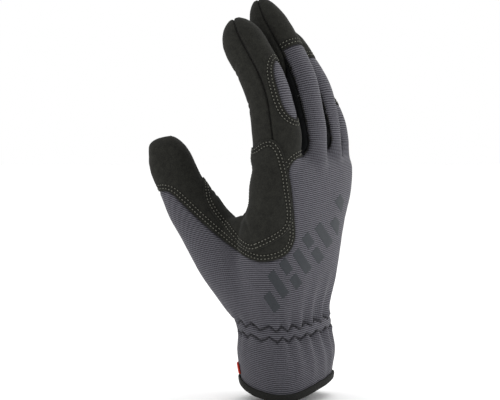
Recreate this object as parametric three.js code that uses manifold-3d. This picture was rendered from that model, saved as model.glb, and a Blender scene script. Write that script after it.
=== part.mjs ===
// A mechanic's work glove for the right hand, in the form that a hand gives it: wrist upright, fingers curling
// to the palm and thumb standing out. Millimetres, +Z from the wrist opening to the fingertips, -Y at the back
// of the hand, +Y at the palm, -X on the thumb side. The origin is the middle of the wrist opening.
import * as THREE from "three";
import { mergeVertices } from "three/addons/utils/BufferGeometryUtils.js";
import Module from "manifold-3d";

const wasm = await Module();
wasm.setup();

// Driving sizes of the worn form.
const GLOVE_HEIGHT = 245; // from the lowest point of the hem to the tip of the middle finger
const KNUCKLE_BREADTH = 96; // across the four knuckles
const KNUCKLE_DEPTH = 38; // from the back to the palm at the knuckles
const WRIST_BREADTH = 68;
const WRIST_DEPTH = 51;
const HAND_LEAN = 17; // how far the knuckles stand back from the wrist
const FINGER_WIDTH = 22; // of the middle finger, side to side at its root
const FINGER_DEPTH = 26.4; // of the middle finger, back to front at its root
const FINGER_TAPER = 0.08; // share of its size that a finger loses by its tip
const INSIDE_SHARE = 0.72; // size of a finger's hidden start inside the hand, a share of its root
const FINGER_CURL = 33.5; // how far the middle fingertip bends to the palm
const TIP_LENGTH = 19; // length of a fingertip's or the thumb tip's round end
const THUMB_SPREAD = 46.4; // how far the thumb tip lies to the side
const THUMB_REACH = 56.3; // how far the thumb tip stands out on the palm side
const THUMB_HEIGHT = 161; // height of the thumb tip
const THUMB_WIDTH = 24;
const THUMB_DEPTH = 27;

// Cloth and its seams.
const WALL = 1.4; // fabric and suede
const SEAM_GAP = 0.3; // between two pieces along a seam
const PATCH = 1; // thickness of the reinforcement sewn over the thumb crotch
const BINDING = 1; // thickness of the tape folded round the hem
const BINDING_HEIGHT = 4.8;
const HEM_DIP = 8; // how much lower the hem is at the thumb side and the little-finger side
const HEM_TILT = 4; // how much higher the hem is on the little-finger side of the palm
const PLEATS = 20; // gathers round the elastic
const PLEAT_DEPTH = 2.2;
const TAB_WIDTH = 12; // red tab on the palm side of the cuff
const TAB_HEIGHT = 7;
const TAB_THICKNESS = 1.4;
const TAB_CLEARANCE = 1.3; // between the binding and the tab
const TAB_SIDE = 8.5; // where the tab's middle lies, from the glove's middle to the viewer of the side view

// Resolution of the lofts.
const PLEAT_SIDES = 2 * PLEATS; // of a section in the gathered part; the smooth part has half as many
const OUTER_TUBE = { sides: 14, steps: 6, tip: [0.42, 0.75, 0.94] }; // tip: shares of the round end with a ring
const INNER_TUBE = { sides: 12, steps: 5, tip: [0.5, 0.85] };
const SQUARENESS = 2.3; // of the hand's oval: 2 is an ellipse

const DEGREE = Math.PI / 180;
const HEM_LOW = -57 * DEGREE; // turn at which the hem is lowest
const TAB_TURN = -133 * DEGREE; // turn at which the tab lies
const SIDE_VIEW = -56 * DEGREE; // turn of the side view in which the seams on the thumb side are drawn
const ACROSS = new THREE.Vector3(Math.cos(SIDE_VIEW), Math.sin(SIDE_VIEW), 0); // its direction to the right
const TOWARDS = new THREE.Vector3(Math.sin(SIDE_VIEW), -Math.cos(SIDE_VIEW), 0); // and to the viewer
const BACK = new THREE.Vector3(0, -1, 0);
const mix = (a, b, t) => a + (b - a) * t;

// The hand's form, a row for each section from hem to finger roots. height is a share of GLOVE_HEIGHT; knuckle
// blends the wrist's sizes (0) into the knuckles' (1); breadth and depth are shares of those; side is a share
// of KNUCKLE_BREADTH towards the thumb; lean a share of HAND_LEAN; pleat a share of PLEAT_DEPTH; level says how
// far the section follows the hem's dip and tilt.
const HAND_ROWS = [
  { height: 0, knuckle: 0, breadth: 0.935, depth: 0.95, side: 0, lean: 0.01, pleat: 0, level: 1 },
  { height: 0.02, knuckle: 0, breadth: 0.95, depth: 0.965, side: 0, lean: 0.01, pleat: 0, level: 1 },
  { height: 0.085, knuckle: 0, breadth: 1.01, depth: 1.03, side: 0.005, lean: 0.01, pleat: 0.25, level: 0.8 },
  { height: 0.138, knuckle: 0, breadth: 0.965, depth: 0.965, side: 0.018, lean: -0.02, pleat: 1, level: 0.6 },
  { height: 0.158, knuckle: 0, breadth: 1.01, depth: 1.0, side: 0.022, lean: -0.03, pleat: 0.35, level: 0.55 },
  { height: 0.178, knuckle: 0, breadth: 0.965, depth: 0.94, side: 0.025, lean: -0.03, pleat: 1, level: 0.5 },
  { height: 0.215, knuckle: 0.06, breadth: 1.0, depth: 0.935, side: 0.03, lean: -0.03, pleat: 0.5, level: 0.35 },
  { height: 0.285, knuckle: 0.22, breadth: 1.06, depth: 1.0, side: 0.04, lean: 0.12, pleat: 0, level: 0.1 },
  { height: 0.36, knuckle: 0.45, breadth: 1.06, depth: 1.03, side: 0.05, lean: 0.3, pleat: 0, level: 0 },
  { height: 0.44, knuckle: 0.75, breadth: 1.0, depth: 1.04, side: 0.05, lean: 0.52, pleat: 0, level: 0 },
  { height: 0.515, knuckle: 1, breadth: 0.95, depth: 1.06, side: 0.04, lean: 0.76, pleat: 0, level: 0 },
  { height: 0.57, knuckle: 1, breadth: 0.94, depth: 0.95, side: 0.025, lean: 0.88, pleat: 0, level: 0 },
  { height: 0.598, knuckle: 1, breadth: 0.9, depth: 0.74, side: 0.015, lean: 0.95, pleat: 0, level: 0 },
  { height: 0.614, knuckle: 1, breadth: 0.82, depth: 0.48, side: 0.01, lean: 1, pleat: 0, level: 0 },
];

const SMOOTH_FROM = 0.25; // share of GLOVE_HEIGHT above which there are no gathers

// The fingers. root and tip are places to the side in shares of KNUCKLE_BREADTH; arch is how far the root lies
// from the row of knuckles in shares of KNUCKLE_DEPTH; curl is a share of FINGER_CURL; top a share of
// GLOVE_HEIGHT; width and depth are shares of the middle finger's; cover is the height, as a share of the
// finger's rise, where the fabric on its back ends at the suede of its tip; round is a share of TIP_LENGTH.
// In each finger's four lines stand its place at the side, its bend, its size and its ends.
const FINGER_ROOT = 0.6; // height of the finger roots, a share of GLOVE_HEIGHT
const FINGERS = {
  index: {
    root: -0.362, tip: -0.39, arch: 0.04,
    curl: 0.866, top: 0.945,
    width: 1.07, depth: 1.07,
    cover: 0.7, round: 1,
  },
  middle: {
    root: -0.115, tip: -0.125, arch: -0.118,
    curl: 1.03, top: 1,
    width: 1, depth: 1,
    cover: 0.62, round: 1.4,
  },
  ring: {
    root: 0.122, tip: 0.13, arch: -0.053,
    curl: 0.985, top: 0.93,
    width: 0.964, depth: 0.955,
    cover: 0.69, round: 1,
  },
  little: {
    root: 0.344, tip: 0.365, arch: 0.105,
    curl: 0.537, top: 0.788,
    width: 0.87, depth: 0.85,
    cover: 0.62, round: 0.9,
  },
};

// How a finger bends: rise is a share of its height above the root, bend a share of its curl.
const BEND_ROWS = [
  { rise: -0.18, bend: -0.01 },
  { rise: 0, bend: 0 },
  { rise: 0.25, bend: 0.06 },
  { rise: 0.45, bend: 0.17 },
  { rise: 0.6, bend: 0.36 },
  { rise: 0.73, bend: 0.59 },
  { rise: 0.87, bend: 0.83 },
  { rise: 1, bend: 1 },
];

// The thumb, from inside the hand to its tip: side, reach and height are shares of THUMB_SPREAD, THUMB_REACH
// and THUMB_HEIGHT; width and depth are shares of THUMB_WIDTH and THUMB_DEPTH.
const THUMB_BACK = new THREE.Vector3(-0.6, 0.7, -0.4).normalize(); // the way the thumb's back faces
const THUMB_ROWS = [
  { side: 0.42, reach: 0.05, height: 0.35, width: 1.45, depth: 1.45 },
  { side: 0.56, reach: 0.22, height: 0.44, width: 1.46, depth: 1.45 },
  { side: 0.7, reach: 0.4, height: 0.54, width: 1.38, depth: 1.4 },
  { side: 0.81, reach: 0.6, height: 0.655, width: 1.22, depth: 1.28 },
  { side: 0.9, reach: 0.77, height: 0.745, width: 1.08, depth: 1.12 },
  { side: 0.95, reach: 0.86, height: 0.81, width: 1.02, depth: 1.02 },
  { side: 1, reach: 0.96, height: 0.895, width: 1, depth: 1 },
  { side: 1.02, reach: 1.035, height: 1, width: 0.98, depth: 0.98 },
];

// Turns a closed indexed geometry into a solid that can be cut and joined.
function toSolid(geometry) {
  const vertProperties = geometry.attributes.position.array;
  const triVerts = new Uint32Array(geometry.index.array);
  const solid = new wasm.Manifold(new wasm.Mesh({ numProp: 3, vertProperties, triVerts }));
  if (solid.volume() > 0) return solid;
  return new wasm.Manifold(new wasm.Mesh({ numProp: 3, vertProperties, triVerts: triVerts.reverse() }));
}

// Turns a solid back into a geometry with vertex normals.
function toGeometry(solid) {
  const mesh = solid.getMesh();
  const geometry = new THREE.BufferGeometry();
  geometry.setAttribute("position", new THREE.BufferAttribute(new Float32Array(mesh.vertProperties), 3));
  geometry.setIndex(new THREE.BufferAttribute(new Uint32Array(mesh.triVerts), 1));
  geometry.computeVertexNormals();
  return geometry;
}

// Of a solid that a cut has left in several bodies, the largest one.
function largest(solid) {
  const bodies = solid.decompose();
  return bodies.reduce((best, body) => (body.volume() > best.volume() ? body : best), bodies[0]);
}

// A solid lofted through rings, its two ends closed by fans. A ring may have half as many points as the one
// before it.
function loft(rings) {
  const points = rings.flat();
  const faces = [];
  let first = 0;
  rings.slice(1).forEach((next, r) => {
    const sides = rings[r].length;
    const above = first + sides;
    for (let i = 0; i < next.length; i++) {
      const [c, d] = [above + i, above + ((i + 1) % next.length)];
      if (next.length === sides) {
        const [a, b] = [first + i, first + ((i + 1) % sides)];
        faces.push(a, b, d, a, d, c);
      } else {
        const [a, b, e] = [0, 1, 2].map((k) => first + ((2 * i + k) % sides));
        faces.push(a, b, c, b, e, d, b, d, c);
      }
    }
    first = above;
  });
  [[rings[0], 0], [rings.at(-1), first]].forEach(([ring, start]) => {
    const hub = points.length;
    points.push(ring.reduce((sum, p) => sum.add(p), new THREE.Vector3()).divideScalar(ring.length));
    ring.forEach((_, i) => {
      const [a, b] = [start + i, start + ((i + 1) % ring.length)];
      faces.push(...(start ? [a, b, hub] : [b, a, hub]));
    });
  });
  const geometry = new THREE.BufferGeometry().setFromPoints(points);
  geometry.setIndex(faces);
  return toSolid(geometry);
}

// A block between two corners.
function block(low, high) {
  const geometry = new THREE.BoxGeometry(high[0] - low[0], high[1] - low[1], high[2] - low[2]);
  geometry.translate((high[0] + low[0]) / 2, (high[1] + low[1]) / 2, (high[2] + low[2]) / 2);
  geometry.deleteAttribute("normal");
  geometry.deleteAttribute("uv");
  return toSolid(mergeVertices(geometry));
}

// How far a section's edge lies above its own level; turn runs from the back of the hand to the side away from
// the thumb. It is least on the thumb side, a little to the back.
function hemLift(turn) {
  const away = turn - HEM_LOW;
  return (HEM_DIP * (1 - Math.cos(2 * away))) / 2 + (HEM_TILT * (1 - Math.cos(away))) / 2;
}

// A section of the hand, set out by grow from the glove's outer face and lifted by lift.
function handRing(row, grow, lift = 0) {
  const halfBreadth = (mix(WRIST_BREADTH, KNUCKLE_BREADTH, row.knuckle) * row.breadth) / 2;
  const halfDepth = (mix(WRIST_DEPTH, KNUCKLE_DEPTH, row.knuckle) * row.depth) / 2;
  const sides = row.height < SMOOTH_FROM ? PLEAT_SIDES : PLEATS;
  return Array.from({ length: sides }, (_, i) => {
    const turn = (i / sides) * 2 * Math.PI;
    const [s, c] = [Math.sin(turn), Math.cos(turn)];
    const out = grow + (i % 2 ? 0.5 : -0.5) * row.pleat * PLEAT_DEPTH;
    return new THREE.Vector3(
      -row.side * KNUCKLE_BREADTH + (halfBreadth + out) * Math.sign(s) * Math.abs(s) ** (2 / SQUARENESS),
      -row.lean * HAND_LEAN - (halfDepth + out) * Math.sign(c) * Math.abs(c) ** (2 / SQUARENESS),
      row.height * GLOVE_HEIGHT + row.level * hemLift(turn) + lift,
    );
  });
}

// The whole hand without its fingers. The fabric ends inside the binding, and the hollow runs out below it.
function handForm(grow) {
  const rings = HAND_ROWS.map((row) => handRing(row, grow));
  rings[0] = handRing(HAND_ROWS[0], grow, grow < 0 ? -BINDING_HEIGHT : BINDING + SEAM_GAP);
  rings.at(-1).forEach((p) => (p.z += grow));
  return loft(rings);
}

// The centre lines of the fingers and the thumb, with the half sizes of their sections along them.
function fingerLine(finger) {
  const points = BEND_ROWS.map(
    ({ rise, bend }) =>
      new THREE.Vector3(
        mix(finger.root, finger.tip, rise) * KNUCKLE_BREADTH,
        -HAND_LEAN + finger.arch * KNUCKLE_DEPTH + finger.curl * FINGER_CURL * bend,
        mix(FINGER_ROOT, finger.top, rise) * GLOVE_HEIGHT,
      ),
  );
  const above = 1 / (BEND_ROWS.length - 1); // where along the curve the finger leaves the hand
  const size = (place) => {
    const left = place < above ? mix(INSIDE_SHARE, 1, place / above) : 1 - FINGER_TAPER * (place - above);
    return [(finger.width * FINGER_WIDTH * left) / 2, (finger.depth * FINGER_DEPTH * left) / 2];
  };
  const curve = new THREE.CatmullRomCurve3(points, false, "centripetal");
  return { curve, back: BACK, size, round: finger.round };
}

function thumbLine() {
  const points = THUMB_ROWS.map(
    (row) => new THREE.Vector3(-row.side * THUMB_SPREAD, row.reach * THUMB_REACH, row.height * THUMB_HEIGHT),
  );
  const size = (place) => {
    const scaled = Math.min(place, 1 - 1e-9) * (THUMB_ROWS.length - 1);
    const [low, high] = [THUMB_ROWS[Math.floor(scaled)], THUMB_ROWS[Math.floor(scaled) + 1]];
    const width = mix(low.width, high.width, scaled % 1);
    const depth = mix(low.depth, high.depth, scaled % 1);
    return [(width * THUMB_WIDTH) / 2, (depth * THUMB_DEPTH) / 2];
  };
  return { curve: new THREE.CatmullRomCurve3(points, false, "centripetal"), back: THUMB_BACK, size, round: 1 };
}

// A point of a tube at a share of its length, turned from its back towards +X, and grow outside its face.
function onTube(line, share, turn, grow, shrink = 1) {
  const place = line.curve.getUtoTmapping(share);
  const tangent = line.curve.getTangent(place);
  const side = new THREE.Vector3().crossVectors(tangent, line.back).normalize();
  const back = new THREE.Vector3().crossVectors(side, tangent);
  const [width, depth] = line.size(place);
  return line.curve
    .getPoint(place)
    .addScaledVector(side, (width * shrink + grow) * Math.sin(turn))
    .addScaledVector(back, (depth * shrink + grow) * Math.cos(turn));
}

// A finger or the thumb as a solid: even sections, then rings that close into the round tip.
function tubeForm(line, grow) {
  const length = line.curve.getLength();
  const tip = 1 - (line.round * TIP_LENGTH) / length;
  const detail = grow < 0 ? INNER_TUBE : OUTER_TUBE;
  const stations = Array.from({ length: detail.steps + 1 }, (_, i) => {
    return { share: (tip * i) / detail.steps, over: 0 };
  });
  detail.tip.forEach((over) => stations.push({ share: mix(tip, 1, over), over }));
  const along = line.curve.getTangentAt(1);
  const rings = stations.map(({ share, over }) => {
    const shrink = Math.sqrt(1 - over * over);
    return Array.from({ length: detail.sides }, (_, i) => {
      const turn = (i / detail.sides) * 2 * Math.PI;
      return onTube(line, share, turn, grow * shrink, shrink).addScaledVector(along, grow * over);
    });
  });
  return loft(rings);
}

const LINES = Object.fromEntries(Object.entries(FINGERS).map(([name, finger]) => [name, fingerLine(finger)]));
LINES.thumb = thumbLine();

// The glove's whole form, set out by grow from its outer face.
function form(grow) {
  return Object.values(LINES).reduce((sum, line) => sum.add(tubeForm(line, grow)), handForm(grow));
}

// The share of a finger's length at which it reaches a height.
function shareAt(line, height) {
  let [low, high] = [0, 1];
  for (let i = 0; i < 30; i++) {
    const middle = (low + high) / 2;
    if (line.curve.getPointAt(middle).z < height) low = middle;
    else high = middle;
  }
  return low;
}

// A wedge with its edge on a tube's centre line: between two heights and between two turns, which narrow(part)
// draws together by an angle along its length. reach is how far it stands out of the tube.
function wedge(line, [bottom, top], turns, grow, reach, narrow = () => 0) {
  const length = line.curve.getLength();
  const ends = [shareAt(line, bottom) - grow / length, shareAt(line, top) + grow / length];
  const spread = (grow / FINGER_WIDTH) * 2;
  const rings = Array.from({ length: WEDGE_STEPS + 1 }, (_, i) => {
    const share = mix(ends[0], ends[1], i / WEDGE_STEPS);
    const draw = narrow(i / WEDGE_STEPS) * DEGREE - spread;
    const [from, to] = [turns[0] * DEGREE + draw, turns[1] * DEGREE - draw];
    const out = reach + grow + (1.5 * i) / WEDGE_STEPS;
    const fan = Array.from({ length: WEDGE_FAN }, (_, k) =>
      onTube(line, share, mix(from, to, k / (WEDGE_FAN - 1)), out),
    );
    return [line.curve.getPointAt(share), ...fan];
  });
  return loft(rings);
}

// Widens a closed outline by grow, corner by corner.
function widen(corners, grow) {
  const out = THREE.ShapeUtils.isClockWise(corners) ? -grow : grow;
  return corners.map((corner, i) => {
    const before = corners[(i + corners.length - 1) % corners.length];
    const after = corners[(i + 1) % corners.length];
    const [p, q] = [corner.clone().sub(before).normalize(), after.clone().sub(corner).normalize()];
    const outward = new THREE.Vector2(p.y + q.y, -p.x - q.x).normalize();
    return corner.clone().addScaledVector(outward, out / Math.max(0.5, outward.x * p.y - outward.y * p.x));
  });
}

// A prism over an outline of the side view. Its rows hold shares of KNUCKLE_BREADTH across and of GLOVE_HEIGHT
// up; it runs from one distance towards the viewer to another.
function prism(rows, [far, near], grow = 0) {
  const outline = rows.map(({ across, up }) => new THREE.Vector2(across * KNUCKLE_BREADTH, up * GLOVE_HEIGHT));
  const options = { depth: near - far, bevelEnabled: false, steps: 1 };
  const geometry = new THREE.ExtrudeGeometry(new THREE.Shape(widen(outline, grow)), options);
  geometry.deleteAttribute("normal");
  geometry.deleteAttribute("uv");
  const frame = new THREE.Matrix4().makeBasis(ACROSS, new THREE.Vector3(0, 0, 1), TOWARDS);
  geometry.translate(0, 0, far);
  return toSolid(mergeVertices(geometry.applyMatrix4(frame)));
}

// The seam between suede and fabric on the thumb side, drawn in the side view from the crotch of index and
// middle finger down the back of the hand, round the thumb's root and out along the thumb.
const SUEDE_BORDER = [
  { across: 0.115, up: 0.627 },
  { across: 0.008, up: 0.58 },
  { across: 0.02, up: 0.53 },
  { across: 0.044, up: 0.43 },
  { across: 0.042, up: 0.406 },
  { across: 0.015, up: 0.38 },
  { across: -0.04, up: 0.362 },
  { across: -0.16, up: 0.352 },
  { across: -0.225, up: 0.357 },
  { across: -0.29, up: 0.37 },
  { across: -0.39, up: 0.397 },
  { across: -0.552, up: 0.45 },
  { across: -0.68, up: 0.497 },
  { across: -0.735, up: 0.516 },
  { across: -0.79, up: 0.521 },
  { across: -0.93, up: 0.5 },
];

// The reinforcement over the thumb crotch, in the same view.
const PATCH_OUTLINE = [
  { across: -0.2, up: 0.63 },
  { across: -0.51, up: 0.62 },
  { across: -0.53, up: 0.51 },
  { across: -0.5, up: 0.48 },
  { across: -0.4, up: 0.43 },
  { across: -0.28, up: 0.387 },
  { across: -0.225, up: 0.377 },
  { across: -0.163, up: 0.386 },
  { across: -0.02, up: 0.421 },
  { across: 0.016, up: 0.443 },
  { across: 0.023, up: 0.47 },
  { across: 0.002, up: 0.54 },
  { across: -0.02, up: 0.6 },
  { across: -0.06, up: 0.638 },
  { across: -0.105, up: 0.65 },
  { across: -0.16, up: 0.645 },
];

// What the thumb's own pieces take of the glove, in the same view.
const THUMB_OUTLINE = [
  { across: -0.29, up: 0.9 },
  { across: -1.3, up: 0.9 },
  { across: -1.3, up: 0.235 },
  { across: -0.42, up: 0.235 },
  { across: -0.29, up: 0.37 },
];

const SPLIT_HEIGHT = 0.62 * GLOVE_HEIGHT; // above it each finger's pieces stand alone
const NEAR_SIDE = 4; // the side view's seams hold for what lies nearer to the viewer than this
const PATCH_FAR = -10; // how far the reinforcement reaches round to the palm
const COVER_TURN = 53; // half the angle that the fabric covers on a finger's back
const SIDE_TURN = 105; // where the black strip between two fingers ends on their palm sides
const FAR = 200; // beyond everything
const CLEAR_OUTSIDE = 6; // how far the cut above the cuff stands out of the cloth, and into the hollow
const CLEAR_INSIDE = 9;
const WEDGE_STEPS = 5;
const WEDGE_FAN = 4;

// The side of the hand away from the thumb, where palm and back meet: place is a share of KNUCKLE_DEPTH to the
// back at a share of GLOVE_HEIGHT.
const EDGE_ROWS = [
  { up: 0.05, place: 0 },
  { up: 0.25, place: 0.02 },
  { up: 0.45, place: 0.22 },
  { up: 0.6, place: 0.42 },
  { up: 0.7, place: 0.42 },
];

// The shell, from which the pieces are cut one after another, each with a gap to what is left.
let rest = form(0).subtract(form(-WALL));
const pieces = [];
function keep(name, color, solid) {
  pieces.push({ name, color, solid: largest(solid) });
}
function take(name, color, cutter) {
  keep(name, color, rest.intersect(cutter(0)));
  rest = rest.subtract(cutter(SEAM_GAP));
}

const SUEDE = "#2e2e2b";
const FABRIC = "#5b5a60";
const BLACK = "#161617";
const RED = "#b8382c";

// The black strips between the fingers, each up both fingers' sides and over the crotch.
const crotches = [
  ["index", "middle"],
  ["middle", "ring"],
  ["ring", "little"],
];
const stripTop = (name) => mix(FINGER_ROOT, FINGERS[name].top, FINGERS[name].cover) * GLOVE_HEIGHT;
const stripEnd = (part) => (18 * Math.max(0, part - 0.6)) / 0.4;
crotches.forEach(([low, high]) => {
  const foot = 0.598 * GLOVE_HEIGHT;
  const centre = LINES[low].curve.getPoint(1 / 7).add(LINES[high].curve.getPoint(1 / 7)).multiplyScalar(0.5);
  const wide = 2.5;
  take(`${low}_${high}_strip`, BLACK, (grow) => {
    const left = wedge(LINES[low], [foot, stripTop(low) - 8], [COVER_TURN, SIDE_TURN], grow, 0.5, stripEnd);
    const right = wedge(LINES[high], [foot, stripTop(high) - 8], [-SIDE_TURN, -COVER_TURN], grow, 0.5, stripEnd);
    const web = block(
      [centre.x - wide - grow, centre.y - 8 - grow, foot - grow],
      [centre.x + wide + grow, centre.y + 4 + grow, SPLIT_HEIGHT + 1 + grow],
    );
    return left.add(right).add(web);
  });
});

// Fabric on the backs of the fingers. On the index finger it is a leaf set into the suede.
const above = (grow) => block([-FAR, -FAR, SPLIT_HEIGHT - grow], [FAR, FAR, 2 * FAR]);
take("index_back_inset", FABRIC, (grow) =>
  wedge(LINES.index, [0.692 * GLOVE_HEIGHT, 0.812 * GLOVE_HEIGHT], [-34, 49], grow, 3, (part) => {
    return 41 * (1 - (1 - Math.abs(2 * part - 1) ** 2.4) ** 0.5) * 0.9;
  }),
);
[
  ["middle", COVER_TURN],
  ["ring", COVER_TURN],
  ["little", 88],
].forEach(([name, turn]) => {
  const span = [0.6 * GLOVE_HEIGHT, stripTop(name)];
  take(`${name}_back`, FABRIC, (grow) =>
    wedge(LINES[name], span, [-COVER_TURN, turn], grow, 4).intersect(above(grow)),
  );
});

// Suede over the fronts, sides and tips of the fingers.
const between = (low, high) => (FINGERS[low].root + FINGERS[high].root) * 0.5 * KNUCKLE_BREADTH;
const bounds = [-FAR, between("index", "middle"), between("middle", "ring"), between("ring", "little"), FAR];
Object.keys(FINGERS).forEach((name, i) => {
  take(`${name}_suede`, SUEDE, (grow) =>
    block([bounds[i], -FAR, SPLIT_HEIGHT - grow], [bounds[i + 1], 0.6 * THUMB_REACH, 2 * FAR]),
  );
});

// The thumb: fabric on its back below the seam, suede above it.
const lowCorner = { across: -0.93, up: 0 };
const belowBorder = [...SUEDE_BORDER.slice(8), lowCorner, { across: -0.225, up: 0 }].reverse();
take("thumb_back", FABRIC, (grow) =>
  prism(THUMB_OUTLINE, [-FAR, FAR], grow).intersect(prism(belowBorder, [-FAR, FAR], grow)),
);
take("thumb_suede", SUEDE, (grow) => prism(THUMB_OUTLINE, [-FAR, FAR], grow));

// The cuff below the lower row of elastic.
const elastic = HAND_ROWS[3];
take("cuff", FABRIC, (grow) =>
  loft([
    handRing(HAND_ROWS[0], CLEAR_OUTSIDE, -GLOVE_HEIGHT / 6),
    handRing(elastic, CLEAR_OUTSIDE, grow),
    handRing(elastic, -CLEAR_INSIDE, grow),
  ]),
);

// The palm: by the seam in the side view where that shows, and the palm's side of the hand elsewhere.
const suedeSide = [...SUEDE_BORDER, { across: -0.93, up: 0.9 }, { across: 0.115, up: 0.9 }].reverse();
take("palm", SUEDE, (grow) => {
  const near = prism(suedeSide, [NEAR_SIDE - 1 - grow, FAR], grow);
  const palmSide = loft(
    EDGE_ROWS.map(({ up, place }) => {
      const y = -place * KNUCKLE_DEPTH - grow;
      const z = up * GLOVE_HEIGHT;
      const corners = [[-FAR, y], [FAR, y], [FAR, FAR], [-FAR, FAR]];
      return corners.map(([x, depth]) => new THREE.Vector3(x, depth, z));
    }),
  );
  const beyond = block([-FAR, -FAR, 0.58 * GLOVE_HEIGHT - grow], [FAR, FAR, FAR]);
  const farSide = [{ across: -2, up: 0 }, { across: 2, up: 0 }, { across: 2, up: 1 }, { across: -2, up: 1 }];
  return near.add(palmSide.intersect(prism(farSide, [-FAR, NEAR_SIDE + grow]).add(beyond)));
});
keep("hand_back", FABRIC, rest);

// The reinforcement over the thumb crotch lies on the suede.
const patchSkin = form(SEAM_GAP + PATCH).subtract(form(SEAM_GAP));
keep("crotch_patch", SUEDE, patchSkin.intersect(prism([...PATCH_OUTLINE], [PATCH_FAR, FAR])));

// The red tab lies on the palm side of the cuff.
const tabSkin = form(SEAM_GAP + TAB_THICKNESS).subtract(form(SEAM_GAP));
const tabFoot = (hemLift(TAB_TURN) + BINDING_HEIGHT + TAB_CLEARANCE) / GLOVE_HEIGHT;
const tabTop = tabFoot + TAB_HEIGHT / GLOVE_HEIGHT;
const tabPlace = [
  { across: -0.45, up: tabFoot },
  { across: -0.2, up: tabFoot },
  { across: -0.2, up: tabTop },
  { across: -0.45, up: tabTop },
];
keep("red_tab", RED, tabSkin.intersect(prism(tabPlace, [TAB_SIDE - TAB_WIDTH / 2, TAB_SIDE + TAB_WIDTH / 2])));

// The binding folded round the hem: a profile of offsets from the glove's face and heights, led round it.
const outside = SEAM_GAP;
const inside = -WALL - SEAM_GAP;
const TAPE_PROFILE = [
  { offset: outside + BINDING, height: 0 },
  { offset: outside + BINDING, height: BINDING_HEIGHT },
  { offset: outside, height: BINDING_HEIGHT },
  { offset: outside, height: BINDING },
  { offset: inside, height: BINDING },
  { offset: inside, height: BINDING_HEIGHT },
  { offset: inside - BINDING, height: BINDING_HEIGHT },
  { offset: inside - BINDING, height: 0 },
];
function hemTape() {
  const rings = TAPE_PROFILE.map(({ offset, height }) => {
    const [low, high] = [handRing(HAND_ROWS[0], offset), handRing(HAND_ROWS[1], offset)];
    return low.map((p, i) => p.lerp(high[i], height / BINDING_HEIGHT));
  });
  const faces = [];
  rings.forEach((ring, r) => {
    const [here, next] = [r * PLEAT_SIDES, ((r + 1) % rings.length) * PLEAT_SIDES];
    ring.forEach((_, i) => {
      const j = (i + 1) % PLEAT_SIDES;
      faces.push(here + i, here + j, next + j, here + i, next + j, next + i);
    });
  });
  const geometry = new THREE.BufferGeometry().setFromPoints(rings.flat());
  geometry.setIndex(faces);
  return toSolid(geometry);
}
keep("hem_binding", BLACK, hemTape());

const group = new THREE.Group();
group.name = "mechanic_glove";
pieces.forEach(({ name, color, solid }) => {
  const mesh = new THREE.Mesh(
    toGeometry(solid),
    new THREE.MeshStandardMaterial({ color, roughness: 0.9, metalness: 0 }),
  );
  mesh.name = name;
  group.add(mesh);
});
export default group;
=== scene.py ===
import math

import bmesh
import bpy
import numpy as np
from mathutils import Matrix, Vector, noise
from mathutils.bvhtree import BVHTree
from mathutils.kdtree import KDTree


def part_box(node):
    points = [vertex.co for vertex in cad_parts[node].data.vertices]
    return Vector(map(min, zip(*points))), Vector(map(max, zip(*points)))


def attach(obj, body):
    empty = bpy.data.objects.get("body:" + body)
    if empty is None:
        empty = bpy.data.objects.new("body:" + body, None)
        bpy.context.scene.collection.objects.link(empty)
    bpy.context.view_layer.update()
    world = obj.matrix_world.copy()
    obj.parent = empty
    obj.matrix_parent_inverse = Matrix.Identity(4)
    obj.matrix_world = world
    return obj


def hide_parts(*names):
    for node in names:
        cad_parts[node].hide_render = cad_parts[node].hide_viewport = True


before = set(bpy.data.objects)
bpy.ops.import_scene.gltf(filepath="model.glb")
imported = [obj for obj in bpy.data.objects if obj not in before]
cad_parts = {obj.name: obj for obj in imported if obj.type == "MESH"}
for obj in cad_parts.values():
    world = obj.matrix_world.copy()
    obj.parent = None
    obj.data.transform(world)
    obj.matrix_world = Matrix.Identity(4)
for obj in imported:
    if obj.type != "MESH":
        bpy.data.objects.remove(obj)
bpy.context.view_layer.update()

bl_info = {
    "name": "Mechanic glove",
    "version": (1, 0, 0),
    "blender": (4, 5, 0),
    "location": "3D View > Sidebar > Glove",
    "description": "A worn work glove of synthetic suede and ribbed stretch fabric, piece by piece",
    "category": "Add Mesh",
}

# Lengths below are millimetres unless a name says share or degrees. A finished mesh is turned to metres.
MM = 0.001
BODY = "root"


def linear(code):
    """An sRGB hex colour as linear red, green and blue."""
    parts = [int(code[i : i + 2], 16) / 255 for i in (1, 3, 5)]
    return [c / 12.92 if c <= 0.04045 else ((c + 0.055) / 1.055) ** 2.4 for c in parts]


def length(name, millimetres, words):
    """A length that the user can change."""
    return bpy.props.FloatProperty(
        name=name, description=words, default=millimetres * MM, min=0, subtype="DISTANCE", unit="LENGTH"
    )


def colour(name, code, words):
    """A colour that the user can change."""
    return bpy.props.FloatVectorProperty(
        name=name, description=words, default=linear(code), size=3, min=0, max=1, subtype="COLOR"
    )


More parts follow.
